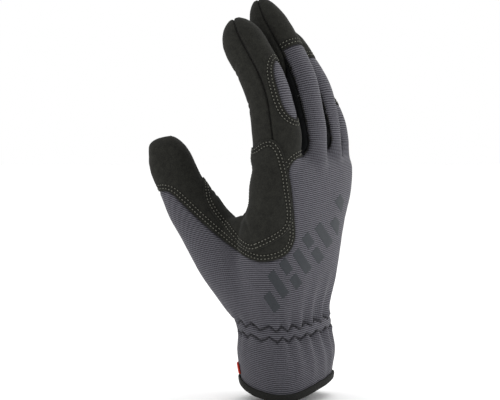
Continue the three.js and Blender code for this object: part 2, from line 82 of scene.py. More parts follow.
class GloveSizes(bpy.types.PropertyGroup):
    """Sizes of the worn glove and its seams."""

    height: length("Height", 245, "From the lowest point of the hem to the middle fingertip")
    knuckle_breadth: length("Knuckle breadth", 96, "Across the four knuckles")
    knuckle_depth: length("Knuckle depth", 38, "From the back to the palm at the knuckles")
    wrist_breadth: length("Wrist breadth", 68, "From side to side at the wrist")
    wrist_depth: length("Wrist depth", 51, "From back to palm at the wrist")
    hand_lean: length("Lean", 17, "How far the knuckles stand back from the wrist")
    finger_width: length("Finger width", 22, "Middle finger, side to side at its root")
    finger_depth: length("Finger depth", 26.4, "Middle finger, back to front at its root")
    finger_curl: length("Finger curl", 33.5, "How far the middle fingertip bends to the palm")
    tip_length: length("Tip length", 19, "Length of a fingertip's round end")
    thumb_spread: length("Thumb spread", 46.4, "How far the thumb tip lies to the side")
    thumb_reach: length("Thumb reach", 56.3, "How far the thumb tip stands out on the palm side")
    thumb_height: length("Thumb height", 161, "Height of the thumb tip")
    thumb_width: length("Thumb width", 24, "Side to side at the thumb's end")
    thumb_depth: length("Thumb depth", 27, "Back to front at the thumb's end")
    cloth: length("Cloth thickness", 1.1, "Fabric or suede with its backing")
    patch: length("Patch thickness", 0.9, "Reinforcement over the thumb crotch")
    binding_height: length("Binding height", 4.8, "Tape folded round the hem")
    pleat_depth: length("Pleat depth", 2.6, "From crest to hollow of a gather at the elastic")
    stitch_pitch: length("Stitch pitch", 2.15, "From one stitch to the next")
    mesh_step: length("Mesh step", 0.9, "Size of the faces of the cloth")


class GloveColours(bpy.types.PropertyGroup):
    """Colours of the glove's materials."""

    suede: colour("Suede", "#252523", "Synthetic suede")
    suede_light: colour("Brushed suede", "#353531", "Suede where the nap lies against the light")
    rib_light: colour("Rib", "#68676e", "Crest of a rib of the stretch fabric")
    # The colour between ribs is painted shade in the hollows, darker than the yarn.
    rib_hollow_shade: colour("Between ribs", "#29282e", "Hollow between two ribs")
    strip: colour("Strip", "#151617", "Knit strips between the fingers")
    binding: colour("Binding", "#262624", "Tape round the hem")
    tab: colour("Tab", "#c0392b", "Woven tab on the cuff")
    thread: colour("Thread", "#74746a", "Stitches on the suede")
    dark_thread: colour("Dark thread", "#1b1b1c", "Stitches on fabric and tape")
    motif: colour("Motif", "#393c40", "Printed bars on the back of the hand")
    lining: colour("Lining", "#3a3a3c", "Inside of the glove")
    floor: colour("Floor", "#fdfdfd", "Floor and backdrop")


# The form's tables. A row's numbers stand under the names of its columns.


def table(columns, *rows):
    """Rows of numbers as a dictionary with one array for each column."""
    return dict(zip(columns.split(), np.array(rows, float).T))


# A section of the glove in each row, from hem to finger roots: height is a share of the glove's; knuckle
# blends the wrist's sizes (0) into the knuckles' (1); breadth and depth are shares of those; side is a share
# of the knuckle breadth towards the thumb; lean a share of the lean; level says how far the hem's dip is
# followed.
HAND = table(
    "height knuckle breadth depth side lean level",
    (0, 0, 0.935, 0.95, 0, 0.01, 1),
    (0.02, 0, 0.95, 0.965, 0, 0.01, 1),
    (0.085, 0, 1.01, 1.03, 0.005, 0.01, 0.8),
    (0.146, 0, 0.965, 0.965, 0.018, -0.02, 0.6),
    (0.166, 0, 1.01, 1, 0.022, -0.03, 0.55),
    (0.184, 0, 0.965, 0.94, 0.025, -0.03, 0.5),
    (0.215, 0.06, 1, 0.935, 0.03, -0.03, 0.35),
    (0.285, 0.22, 1.06, 1, 0.04, 0.12, 0.1),
    (0.36, 0.45, 1.06, 1.03, 0.05, 0.3, 0),
    (0.44, 0.75, 1, 1.04, 0.05, 0.52, 0),
    (0.515, 1, 0.95, 1.06, 0.04, 0.76, 0),
    (0.57, 1, 0.94, 0.95, 0.025, 0.88, 0),
    (0.598, 1, 0.9, 0.74, 0.015, 0.95, 0),
    (0.614, 1, 0.82, 0.48, 0.01, 1, 0),
)
SQUARENESS = 2.3  # of the hand's oval: 2 is an ellipse
HEM_LOW = math.radians(-57)  # turn at which the hem is lowest, from the back of the hand away from the thumb
HEM_DIP = 8  # how much higher the hem is a quarter turn from there, apart from the tilt
HEM_TILT = 4  # how much higher it is opposite
HAND_SECTIONS = 76
HAND_SIDES = 120
HEM_DROP = 8  # how far the form runs on below the hem, before it is cut there

# The fingers: root and tip are shares of the knuckle breadth, arch of the knuckle depth, curl of the finger
# curl, top of the height; width and depth are shares of the middle finger's; cover is the share of the rise
# where the fabric ends; end is a share of the tip length.
FINGER_NAMES = ["index", "middle", "ring", "little"]
FINGERS = table(
    "root tip arch curl top width depth cover end",
    (-0.362, -0.39, 0.04, 0.866, 0.945, 1.07, 1.07, 0.7, 1),
    (-0.115, -0.125, -0.118, 1.03, 1, 1, 1, 0.645, 1.4),
    (0.122, 0.13, -0.053, 0.985, 0.93, 0.964, 0.955, 0.69, 1),
    (0.344, 0.365, 0.105, 0.537, 0.788, 0.87, 0.85, 0.62, 0.9),
)
FINGER_ROOT = 0.6  # height of the finger roots, a share of the height
FINGER_TAPER = 0.08
INSIDE_SHARE = 0.72  # size of a finger's hidden start inside the hand
FINGER_SIDES = 44
# How a finger bends: rise is a share of its length from the root up, bend a share of its curl.
BEND = table(
    "rise bend",
    (-0.18, -0.01), (0, 0), (0.25, 0.06), (0.45, 0.17), (0.6, 0.36), (0.73, 0.59), (0.87, 0.83),
    (1, 1),
)

# The thumb from inside the hand to its tip, in shares of its spread, reach, height, width and depth.
THUMB_BACK = Vector((-0.6, 0.7, -0.4)).normalized()  # the way the thumb's back faces
THUMB = table(
    "side reach height width depth",
    (0.42, 0.05, 0.35, 1.45, 1.45),
    (0.56, 0.22, 0.44, 1.46, 1.45),
    (0.7, 0.4, 0.54, 1.38, 1.4),
    (0.81, 0.6, 0.655, 1.22, 1.28),
    (0.9, 0.77, 0.745, 1.08, 1.12),
    (0.95, 0.86, 0.81, 1.02, 1.02),
    (1, 0.96, 0.895, 1, 1),
    (1.02, 1.035, 1, 0.98, 0.98),
)

# The web of cloth in the thumb crotch, in the side view: its middle line across, up and towards the camera,
# and its half sizes.
WEB = table(
    "across up toward high deep",
    (-50, 108, 12, 8, 8),
    (-39, 101, 16, 10, 10),
    (-29, 100, 21, 10.7, 11),
    (-20, 106, 25, 10.2, 11),
    (-12, 118, 27, 9, 9),
)
WEB_END = 4
WEB_SIDES = 32
# Places in the side view where the worn glove's outline stands out or in: side is 1 for faces to the right.
DENTS = table(
    "across up reach out side",
    (-25, 120, 9, -2.4, -1),
    (-20, 145, 7, 1.2, -1),
    (-83.5, 156, 5, 2.4, -1),
    (-36, 118, 8, -2.4, 1),
    (9, 163, 12, 2.4, 1),
)
# How far a rib climbs on its way round the hand, in the side view: both are shares of the knuckle breadth.
RIB_RISE = table(
    "across rise",
    (-0.89, 0.13), (-0.75, 0.092), (-0.625, 0.045), (-0.52, 0.02), (-0.42, 0.005), (-0.28, 0),
    (-0.2, 0), (-0.1, 0.003), (0, 0.0115), (0.1, 0.026), (0.2, 0.046), (0.3, 0.072), (0.42, 0.104),
)

# Folds over a finger's front: place is a share of its length, spread how wide the fold is.
FINGER_FOLDS = table("place spread", (0.46, 1.3), (0.5, 1.1), (0.7, 1.2), (0.735, 1.0))
FINGER_FOLD_DEPTH = 0.55
FOLD_BOW = 1.5  # how far a finger's fold rises at its ends
THUMB_FOLDS = table("place spread", (0.6, 1.3), (0.64, 1.3))
THUMB_FOLD_DEPTH = 0.5
# The crease in the thumb crotch, in the side view.
PINCH = np.array([(-27, 113), (-24.5, 109), (-23, 104)], float)
PINCH_DEPTH = 0.9
PINCH_SPREAD = 1.3
PINCH_NEAR = 5  # the crease is only on what lies this far to the camera's side
SWELL, SWELL_WIDTH = 0.28, 17  # wide soft unevenness above the wrist
RIPPLE, RIPPLE_WIDTH = 0.1, 6  # small unevenness everywhere
ABOVE_WRIST = (0.2, 0.3)  # shares of the height over which the smooth cloth above the gathers begins
ON_FINGERS = (0.64, 0.68)  # shares of the height over which the fingers' folds begin
FINGER_FRONT, THUMB_FRONT = (95, 140), (60, 110)  # degrees from the back over which the folds begin
THUMB_REACH = 1.15  # a fold of the thumb is felt this far from its middle, as a share of its size
# Rounds of smoothing where two forms join: how near the second lies, as a share of its size, and how many.
JOIN_ROUNDS = ((9, 5), (1.35, 8), (1.2, 14), (1.1, 14))
NOT_NEAR = 9  # stands for a form that lies far off
ABOVE_HAND = 6  # from here up, above the hand's last section, only fingers are near

# Seams on the thumb side, drawn in the side view from -56 degrees: across is a share of the knuckle breadth
# and up a share of the height.
VIEW_TURN = math.radians(-56)
SUEDE_BORDER = table(
    "across up",
    (0.115, 0.627), (0.008, 0.58), (0.02, 0.53), (0.044, 0.43), (0.042, 0.406), (0.015, 0.38),
    (-0.04, 0.362), (-0.16, 0.352), (-0.225, 0.357), (-0.29, 0.37), (-0.39, 0.397), (-0.552, 0.45),
    (-0.68, 0.497), (-0.735, 0.516), (-0.79, 0.521), (-0.93, 0.5),
)
PATCH_OUTLINE = table(
    "across up",
    (-0.2, 0.63), (-0.51, 0.62), (-0.53, 0.51), (-0.5, 0.48), (-0.4, 0.43), (-0.28, 0.387),
    (-0.225, 0.377), (-0.163, 0.386), (-0.02, 0.421), (0.016, 0.443), (0.023, 0.47), (0.002, 0.54),
    (-0.02, 0.6), (-0.06, 0.638), (-0.105, 0.65), (-0.16, 0.645),
)
# The seam under the patch between the palm's suede and the suede on the index finger's back.
INDEX_SEAM = table(
    "up across", (0.36, -0.7), (0.43, -0.3), (0.47, -0.24), (0.52, -0.16), (0.6, -0.11), (0.66, -0.1)
)
# On the side away from the thumb: where palm and back meet, a share of the knuckle depth to the back.
FAR_EDGE = table("up place", (0.05, 0), (0.25, 0.02), (0.45, 0.22), (0.6, 0.42), (0.7, 0.42))
FAR_TOP = 0.58  # share of the height above which that edge holds all round
# These close the border's outline well outside the glove.
SUEDE_CORNERS = ((-1.5, 0.42), (-1.5, 1.2), (0.115, 1.2))
# In the side view, the border and the index seam hold for what lies farther than this towards the camera, and
# the far edge for what doesn't.
BORDER_NEAR, FAR_NEAR, INDEX_NEAR = 2, 5, 3
THUMB_SEAM = 9  # what a share of the thumb's size measures where palm and thumb meet
HEM_TRIM = 0.7  # the cloth ends this far above the hem's line, inside the tape
CORE, CORE_TOP = 0.7, 0.06  # what lies this deep inside, up to this share of the height, is taken out
TAKEN_OUT = -5  # the hem's field there

COVER_TURN = 53  # degrees: half of what the fabric covers on a finger's back, at its root
NEAR_COVER = np.array((53, 53, 33, 31))  # the same on each finger's thumb side
WIDER_COVER = 16  # degrees: how much more it covers on each side towards the tip
WIDENS = (0.1, 0.75)  # shares of the rise over which it does
LITTLE_TURN = 88  # degrees: how far it covers the little finger's outer side
SIDE_TURN = 105  # degrees: where a strip ends on a finger's palm side
SEAM_TURN = 70  # degrees: the seams that run on from the strips to the tip
STRIP_NARROWS = (0.55, 1.0)  # shares of the rise over which a strip's palm side draws in to that seam
INDEX_TURN = -68  # degrees: the long seam on the index finger
DEGREE_LENGTH = 0.21  # what a degree measures along a finger's face
ROOT_BLEND = (0.6, 0.64)  # shares of the height over which the hand's seams give way to the fingers'
OFF = -3.0  # a seam field where its piece can't be
STEEP = 200  # of a field that ends at once

# The fabric leaf: low and high are shares of the height, centre and half its place and size in degrees round
# the finger, and blunt says how round its ends are.
LEAF_SHAPE = dict(low=0.69, high=0.815, centre=9, half=44, blunt=2.4)
# The pointed lower end of a strip, between two finger roots: it opens between the shares low and high of the
# height to wide on each side, less bare, starts at foot, and gives way to the finger's own strip over own.
STRIP_POINT = dict(low=0.592, high=0.67, wide=3.2, bare=0.2, foot=0.602, own=(0.608, 0.645))
# It is wider inside the valley than on the back and the palm: shares of the knuckle depth, and how much
# wider.
VALLEY = dict(back=0.26, palm=0.34, most=0.2, wider=0.6)

PLEATS = 20
ELASTIC = table("height level", (0.156, 0.48), (0.183, 0.5))  # the two rows of elastic
ZIGZAG = 1.7
GATHERED = 0.32  # share of the height below which the cloth is gathered
BUSY_TURN = math.radians(15)  # the side where the gathers are deepest, from the back
# The folds: least and more are shares of half the pleat depth, slant is radians to a millimetre, and ease
# says where a fold begins, from the elastic.
GATHER = dict(least=0.45, more=0.85, slant=0.11, ease=(-1.5, 0.5))
UPPER_FOLD, LOWER_FOLD = (5, 9), (6, 10)  # how far folds run on, and how much farther where deepest
CREASE_DEPTH = 1.3
CREASE_SPREAD = 0.9

HAND_RADIUS = 38  # of the cloth map round the hand
FINGER_RADIUS = 12
MAP_BLEND = (0.57, 0.66)  # shares of the height over which the hand's map gives way to the fingers'


def smoothstep(low, high, x):
    """0 below low, 1 above high and an even ease between."""
    t = np.clip((x - low) / (high - low), 0, 1)
    return t * t * (3 - 2 * t)


def through(points, steps):
    """A Catmull-Rom curve through points, with steps to a stretch, and the share along it of each point."""
    points = np.asarray(points, float)
    ends = [2 * points[0] - points[1], *points, 2 * points[-1] - points[-2]]
    found, places = [], []
    last = len(points) - 2
    for i in range(last + 1):
        p0, p1, p2, p3 = ends[i : i + 4]
        d0, d1, d2 = (np.linalg.norm(b - a) ** 0.5 for a, b in ((p0, p1), (p1, p2), (p2, p3)))
        t1 = ((p1 - p0) / d0 - (p2 - p0) / (d0 + d1) + (p2 - p1) / d1) * d1
        t2 = ((p2 - p1) / d1 - (p3 - p1) / (d1 + d2) + (p3 - p2) / d2) * d1
        for k in range(steps + (i == last)):
            t = k / steps
            square, cube = 3 * (p2 - p1) - 2 * t1 - t2, 2 * (p1 - p2) + t1 + t2
            found.append(p1 + t1 * t + square * t**2 + cube * t**3)
            places.append((i + t) / (last + 1))
    return np.array(found), np.array(places)


def fine_table(rows, key, steps=10):
    """A table with a smooth curve through each of its columns, read off at values of its column key."""
    names = list(rows)
    fine, _ = through(np.array([rows[n] for n in names]).T, steps)
    columns = dict(zip(names, fine.T))
    order = np.maximum.accumulate(columns[key])
    return lambda at: {n: np.interp(at, order, columns[n]) for n in names}


def sizes():
    """The sizes that the panel shows, in millimetres."""
    group = bpy.context.scene.glove_sizes
    return {name: getattr(group, name) / MM for name in GloveSizes.__annotations__}


def hem_lift(turn):
    """How far a section's edge lies above its own level."""
    away = turn - HEM_LOW
    return HEM_DIP * (1 - np.cos(2 * away)) / 2 + HEM_TILT * (1 - np.cos(away)) / 2


class Hand:
    """The glove without its fingers and thumb, as sections over its height."""

    def __init__(self, size):
        self.size = size
        self.row = fine_table(HAND, "height")

    def section(self, height):
        """Half breadth, half depth, centre and level of the section at a share of the height."""
        size, row = self.size, self.row(height)
        breadth = size["wrist_breadth"] + (size["knuckle_breadth"] - size["wrist_breadth"]) * row["knuckle"]
        depth = size["wrist_depth"] + (size["knuckle_depth"] - size["wrist_depth"]) * row["knuckle"]
        centre = -row["side"] * size["knuckle_breadth"], -row["lean"] * size["hand_lean"]
        return breadth * row["breadth"] / 2, depth * row["depth"] / 2, *centre, row["level"]

    def ring(self, height, sides, out=0.0, drop=0.0):
        """The section as a ring of points, set out from the face or dropped below its level."""
        turn = np.arange(sides) / sides * 2 * math.pi
        half_breadth, half_depth, x, y, level = self.section(height)
        sin, cos = np.sin(turn), np.cos(turn)
        return np.stack(
            [
                x + (half_breadth + out) * np.sign(sin) * np.abs(sin) ** (2 / SQUARENESS),
                y - (half_depth + out) * np.sign(cos) * np.abs(cos) ** (2 / SQUARENESS),
                height * self.size["height"] + level * hem_lift(turn) - drop,
            ],
            1,
        )

    def coordinates(self, points):
        """Turn round the hand, distance from its middle as a share of the face's, and height on the cloth."""
        up = points[:, 2]
        for _ in range(3):
            half_breadth, half_depth, x, y, level = self.section(up / self.size["height"])
            across = (points[:, 0] - x) / half_breadth
            back = -(points[:, 1] - y) / half_depth
            sin, cos = (np.sign(part) * np.abs(part) ** (SQUARENESS / 2) for part in (across, back))
            turn = np.arctan2(sin, cos)
            up = points[:, 2] - level * hem_lift(turn)
        away = (np.abs(across) ** SQUARENESS + np.abs(back) ** SQUARENESS) ** (1 / SQUARENESS)
        return turn, away, up


class Tube:
    """A finger or the thumb: a centre line with sections along it."""

    def __init__(self, points, back, half_sizes, end):
        self.line, places = through(points, 24)
        self.width, self.depth = half_sizes(places)
        ahead = np.gradient(self.line, axis=0)
        self.ahead = ahead / np.linalg.norm(ahead, axis=1)[:, None]
        side = np.cross(self.ahead, np.array(back))
        self.side = side / np.linalg.norm(side, axis=1)[:, None]
        self.back = np.cross(self.side, self.ahead)
        steps = np.linalg.norm(np.diff(self.line, axis=0), axis=1)
        self.along = np.concatenate([[0], np.cumsum(steps)])
        self.end = end

    def rings(self, sides, spacing=2.5, shares=(0.3, 0.55, 0.75, 0.88, 0.96)):
        """Sections as rings of points, closing into the round tip."""
        total = self.along[-1]
        tip = total - self.end
        count = int(tip / spacing)
        stations = [(tip * i / count, 0) for i in range(count + 1)]
        stations += [(tip + self.end * share, share) for share in shares]
        turn = np.arange(sides) / sides * 2 * math.pi
        for place, over in stations:

            def at(values):
                return np.array([np.interp(place, self.along, column) for column in np.atleast_2d(values.T)])

            shrink = math.sqrt(1 - over * over)
            width, depth = at(self.width)[0] * shrink, at(self.depth)[0] * shrink
            sideways = np.outer(np.sin(turn) * width, at(self.side))
            backwards = np.outer(np.cos(turn) * depth, at(self.back))
            yield at(self.line) + sideways + backwards

    def coordinates(self, points, batch=4096):
        """Turn from the back in degrees, distance from the line as a share of the face's, and place along."""
        nearest = np.empty(len(points), int)
        for start in range(0, len(points), batch):
            part = points[start : start + batch]
            nearest[start : start + batch] = ((part[:, None] - self.line[None]) ** 2).sum(2).argmin(1)
        offset = points - self.line[nearest]
        place = self.along[nearest] + (offset * self.ahead[nearest]).sum(1)
        across = (offset * self.side[nearest]).sum(1) / self.width[nearest]
        back = (offset * self.back[nearest]).sum(1) / self.depth[nearest]
        over = np.maximum(0, place - (self.along[-1] - self.end)) / self.end
        away = np.sqrt(across**2 + back**2 + over**2)
        return np.degrees(np.arctan2(across, back)), away, place

    def place_at(self, height):
        """The place along the centre line that lies at a height."""
        return np.interp(height, self.line[:, 2], self.along)


def finger_tubes(size):
    """The four fingers, from inside the hand to their tips."""
    tubes = []
    for i in range(len(FINGER_NAMES)):
        finger = {name: column[i] for name, column in FINGERS.items()}
        rise = BEND["rise"]
        root, tip = finger["root"] * size["knuckle_breadth"], finger["tip"] * size["knuckle_breadth"]
        foot = -size["hand_lean"] + finger["arch"] * size["knuckle_depth"]
        across = root + (tip - root) * rise
        forward = foot + finger["curl"] * size["finger_curl"] * BEND["bend"]
        up = (FINGER_ROOT + (finger["top"] - FINGER_ROOT) * rise) * size["height"]
        points = np.stack([across, forward, up], 1)
        start = 1 / (len(rise) - 1)

        def half_sizes(place, finger=finger):
            inside = INSIDE_SHARE + (1 - INSIDE_SHARE) * place / start
            left = np.where(place < start, inside, 1 - FINGER_TAPER * (place - start))
            width, depth = finger["width"] * size["finger_width"], finger["depth"] * size["finger_depth"]
            return width * left / 2, depth * left / 2

        tubes.append(Tube(points, (0, -1, 0), half_sizes, finger["end"] * size["tip_length"]))
    return tubes


def read_rows(rows, names, place):
    """Columns of a table, read off at shares of the way through its rows."""
    count = len(rows[names[0]])
    return [np.interp(place * (count - 1), np.arange(count), rows[name]) for name in names]


def thumb_tube(size):
    """The thumb, from inside the hand to its tip."""
    sides, forward = -THUMB["side"] * size["thumb_spread"], THUMB["reach"] * size["thumb_reach"]
    points = np.stack([sides, forward, THUMB["height"] * size["thumb_height"]], 1)

    def half_sizes(place):
        width, depth = read_rows(THUMB, ("width", "depth"), place)
        return width * size["thumb_width"] / 2, depth * size["thumb_depth"] / 2

    return Tube(points, THUMB_BACK, half_sizes, size["tip_length"])


def loft(bm, rings):
    """Bridges ring after ring of points, closed at both ends."""
    rings = list(rings)
    before = None
    for k, ring in enumerate(rings):
        made = bmesh.ops.create_circle(bm, segments=len(ring), radius=1, cap_ends=k in (0, len(rings) - 1))
        for vert, point in zip(made["verts"], ring):
            vert.co = point
        edges = list({e for v in made["verts"] for e in v.link_edges})
        if before:
            bmesh.ops.bridge_loops(bm, edges=before + edges)
        before = edges


def link(name, data):
    """A new object of the scene for a mesh, a light or a camera."""
    thing = bpy.data.objects.new(name, data)
    bpy.context.scene.collection.objects.link(thing)
    return thing


def with_modifier(bm, kind, **settings):
    """What a modifier makes of a bmesh, as a new bmesh."""
    mesh = bpy.data.meshes.new("work")
    bm.to_mesh(mesh)
    bm.free()
    thing = link("work", mesh)
    modifier = thing.modifiers.new("work", kind)
    for name, value in settings.items():
        setattr(modifier, name, value)
    shaped = thing.evaluated_get(bpy.context.evaluated_depsgraph_get()).to_mesh()
    result = bmesh.new()
    result.from_mesh(shaped)
    bpy.data.objects.remove(thing)
    bpy.data.meshes.remove(mesh)
    return result


def smooth(bm, verts):
    """One round of smoothing, half way to the middle of each point's neighbours."""
    bmesh.ops.smooth_vert(bm, verts=verts, factor=0.5, use_axis_x=True, use_axis_y=True, use_axis_z=True)


def positions(bm):
    """The places of a bmesh's points."""
    return np.array([v.co[:] for v in bm.verts])


def side_view(points):
    """The side view's own coordinates: to the right, up and towards the camera."""
    cos, sin = math.cos(VIEW_TURN), math.sin(VIEW_TURN)
    return points[:, 0] * cos + points[:, 1] * sin, points[:, 2], points[:, 0] * sin - points[:, 1] * cos


def outline_distance(flat, outline, closed=True):
    """Distance of flat points from an outline: for a closed one it is positive inside."""
    points = np.vstack([outline, outline[:1]]) if closed else outline
    least = np.full(len(flat), 1e9)
    inside = np.zeros(len(flat), bool)
    for a, b in zip(points[:-1], points[1:]):
        edge = b - a
        offset = flat - a
        t = np.clip(offset @ edge / max(edge @ edge, 1e-12), 0, 1)
        least = np.minimum(least, np.linalg.norm(offset - t[:, None] * edge, axis=1))
        crosses = (a[1] > flat[:, 1]) != (b[1] > flat[:, 1])
        reach = a[0] + (flat[:, 1] - a[1]) * edge[0] / (edge[1] if edge[1] else 1e-12)
        inside ^= crosses & (flat[:, 0] < reach)
    return np.where(inside, least, -least) if closed else least


def flat_outline(rows, size, closed=True):
    """An outline table of the side view as a smooth line in millimetres."""
    points = np.stack([rows["across"] * size["knuckle_breadth"], rows["up"] * size["height"]], 1)
    if closed:
        points = np.vstack([points, points[:1]])
    return through(points, 6)[0][: -1 if closed else None]


class Form:
    """The glove's whole outer face and what each point of it knows about its place."""

    def __init__(self):
        self.size = sizes()
        self.hand = Hand(self.size)
        self.fingers = finger_tubes(self.size)
        self.thumb = thumb_tube(self.size)

    def measure(self, points):
        """For each point: places on the hand, on its nearest finger and on the thumb."""
        at = {}
        at["turn"], at["hand"], at["up"] = self.hand.coordinates(points)
        found = np.array([tube.coordinates(points) for tube in self.fingers])
        nearest = found[:, 1].argmin(0)
        at["finger"] = nearest
        at["phi"], at["tube"], at["place"] = (found[nearest, k, np.arange(len(points))] for k in range(3))
        at["thumb_phi"], at["thumb"], at["thumb_place"] = self.thumb.coordinates(points)
        at["x"], at["y"], at["z"] = points.T
        at["u"], _, at["w"] = side_view(points)
        at["off_thumb"] = at["thumb"] > at["tube"]
        return at

    def zigzag(self, turn):
        """The elastic stitching's wander, -1 to 1, and the phase of the gathers that it follows."""
        phase = PLEATS * turn + 0.9 * np.sin(3 * turn + 1) + 0.5 * np.sin(7 * turn)
        return np.arcsin(np.cos(phase)) * 2 / math.pi, phase

    def elastic_line(self, row, turn):
        """The height of a row of elastic round the wrist."""
        wander, _ = self.zigzag(turn)
        level = ELASTIC["height"][row] * self.size["height"] + ELASTIC["level"][row] * hem_lift(turn)
        return level + ZIGZAG * wander

    def gathers(self, at):
        """How far the gathered cloth stands out or in round the elastic."""
        _, phase = self.zigzag(at["turn"])
        low, high = (self.elastic_line(row, at["turn"]) for row in (0, 1))
        z = at["z"]
        busy = np.maximum(0, np.cos(at["turn"] - BUSY_TURN)) ** 2
        depth = self.size["pleat_depth"] / 2 * (GATHER["least"] + GATHER["more"] * busy)
        above, below = np.maximum(0, z - high), np.maximum(0, low - z)
        slant = GATHER["slant"] * busy * (below + above)
        (up_least, up_more), (down_least, down_more) = UPPER_FOLD, LOWER_FOLD
        upper = -np.cos(phase - slant) * np.exp(-above / (up_least + up_more * busy))
        upper = upper * smoothstep(*GATHER["ease"], z - high)
        lower = np.cos(phase - slant) * np.exp(-below / (down_least + down_more * busy))
        lower = lower * smoothstep(*GATHER["ease"], low - z)
        crease = sum(np.exp(-(((z - line) / CREASE_SPREAD) ** 2)) for line in (low, high))
        return depth * (upper + lower) - CREASE_DEPTH * crease

    def creases(self, at, points):
        """Folds on the fingers' fronts, in the thumb crotch and over the whole cloth."""
        out = np.zeros(len(points))
        on_finger = smoothstep(*ON_FINGERS, at["z"] / self.size["height"]) * at["off_thumb"]
        front = smoothstep(*FINGER_FRONT, np.abs(at["phi"]))
        bow = FOLD_BOW * np.cos(np.radians(at["phi"]) * 2)
        for i, tube in enumerate(self.fingers):
            mine = on_finger * front * (at["finger"] == i)
            for share, spread in zip(*FINGER_FOLDS.values()):
                away = at["place"] + bow - share * tube.along[-1]
                out -= mine * FINGER_FOLD_DEPTH * np.exp(-((away / spread) ** 2))
        on_thumb = (at["thumb"] < THUMB_REACH) * smoothstep(*THUMB_FRONT, np.abs(at["thumb_phi"]))
        for share, spread in zip(*THUMB_FOLDS.values()):
            away = at["thumb_place"] - share * self.thumb.along[-1]
            out -= on_thumb * THUMB_FOLD_DEPTH * np.exp(-((away / spread) ** 2))
        flat = np.stack([at["u"], at["z"]], 1)
        near = outline_distance(flat, PINCH, closed=False)
        out -= PINCH_DEPTH * np.exp(-((near / PINCH_SPREAD) ** 2)) * (at["w"] > PINCH_NEAR)
        cloth = smoothstep(*ABOVE_WRIST, at["z"] / self.size["height"])
        for i, point in enumerate(points):
            swell = SWELL * cloth[i] * noise.noise(Vector(point) / SWELL_WIDTH)
            out[i] += swell + RIPPLE * noise.noise(Vector(point) / RIPPLE_WIDTH)
        return out

    def web(self):
        """The web in the thumb crotch as a short curved tube."""
        cos, sin = math.cos(VIEW_TURN), math.sin(VIEW_TURN)
        across, up, toward = WEB["across"], WEB["up"], WEB["toward"]
        points = np.stack([across * cos + toward * sin, across * sin - toward * cos, up], 1)

        return Tube(points, (sin, -cos, 0), lambda place: read_rows(WEB, ("high", "deep"), place), WEB_END)

    def dents(self, at, bm):
        """How far the outline stands out or in at single places."""
        right = Vector((math.cos(VIEW_TURN), math.sin(VIEW_TURN), 0))
        facing = np.array([v.normal.dot(right) for v in bm.verts])
        out = np.zeros(len(facing))
        for across, up, reach, amount, side in zip(*DENTS.values()):
            distance = np.hypot(at["u"] - across, at["z"] - up)
            out += amount * np.exp(-((distance / reach) ** 2)) * np.maximum(0, facing * side)
        return out

    def seams(self, at):
        """The fields whose zero lines are the seams, in millimetres."""
        size = self.size
        height = size["height"]
        share = at["z"] / height
        on_finger = smoothstep(*ROOT_BLEND, share) * at["off_thumb"]
        index, little = at["finger"] == 0, at["finger"] == 3
        turn = np.abs(at["phi"])
        tops = (FINGER_ROOT + (FINGERS["top"] - FINGER_ROOT) * FINGERS["cover"]) * height
        top_place = np.array([tube.place_at(top) for tube, top in zip(self.fingers, tops)])[at["finger"]]
        foot_place = np.array([tube.place_at(FINGER_ROOT * height) for tube in self.fingers])[at["finger"]]
        rise = (at["place"] - foot_place) / (top_place - foot_place)
        half_cover = np.where(at["phi"] < 0, NEAR_COVER[at["finger"]], COVER_TURN)
        cover_turn = half_cover + WIDER_COVER * smoothstep(*WIDENS, rise)

        # strips between the fingers
        outside = (index & (at["phi"] < 0)) | (little & (at["phi"] > 0))
        outer_turn = SIDE_TURN - (SIDE_TURN - SEAM_TURN) * smoothstep(*STRIP_NARROWS, rise)
        strip = np.minimum((turn - cover_turn) * DEGREE_LENGTH, (outer_turn - turn) * DEGREE_LENGTH)
        strip = np.minimum(strip, top_place - at["place"])
        strip = np.where(outside, OFF, strip)
        roots = FINGERS["root"] * size["knuckle_breadth"]
        valley = np.abs(at["x"][:, None] - (roots[:-1] + roots[1:]) / 2).min(1)
        behind = (at["y"] + size["hand_lean"]) / size["knuckle_depth"]
        within = np.clip(np.minimum(behind + VALLEY["back"], VALLEY["palm"] - behind), 0, VALLEY["most"])
        point = STRIP_POINT["wide"] * smoothstep(STRIP_POINT["low"], STRIP_POINT["high"], share)
        point = point - STRIP_POINT["bare"] - valley + VALLEY["wider"] * (within * size["knuckle_depth"])
        point = point - STEEP * np.maximum(0, STRIP_POINT["foot"] - share)
        fingers_own = smoothstep(*STRIP_POINT["own"], share)
        strip = point * (1 - fingers_own) + strip * fingers_own
        strip = np.where(at["off_thumb"], strip, OFF)

        # fabric on the fingers' backs and the leaf on the index finger
        fabric = (np.where(little & (at["phi"] > 0), LITTLE_TURN, cover_turn) - turn) * DEGREE_LENGTH
        fabric = np.minimum(fabric, top_place - at["place"])
        leaf_places = [self.fingers[0].place_at(LEAF_SHAPE[k] * height) for k in ("low", "high")]
        part = np.clip((at["place"] - leaf_places[0]) / (leaf_places[1] - leaf_places[0]), 0, 1)
        half = LEAF_SHAPE["half"] * np.sqrt(1 - np.abs(2 * part - 1) ** LEAF_SHAPE["blunt"])
        leaf = (half - np.abs(at["phi"] - LEAF_SHAPE["centre"])) * DEGREE_LENGTH
        beyond = np.maximum(leaf_places[0] - at["place"], at["place"] - leaf_places[1])
        leaf = np.where(beyond > 0, -beyond - 0.1, leaf)  # never quite zero past the ends
        fabric = np.where(index, leaf, fabric)

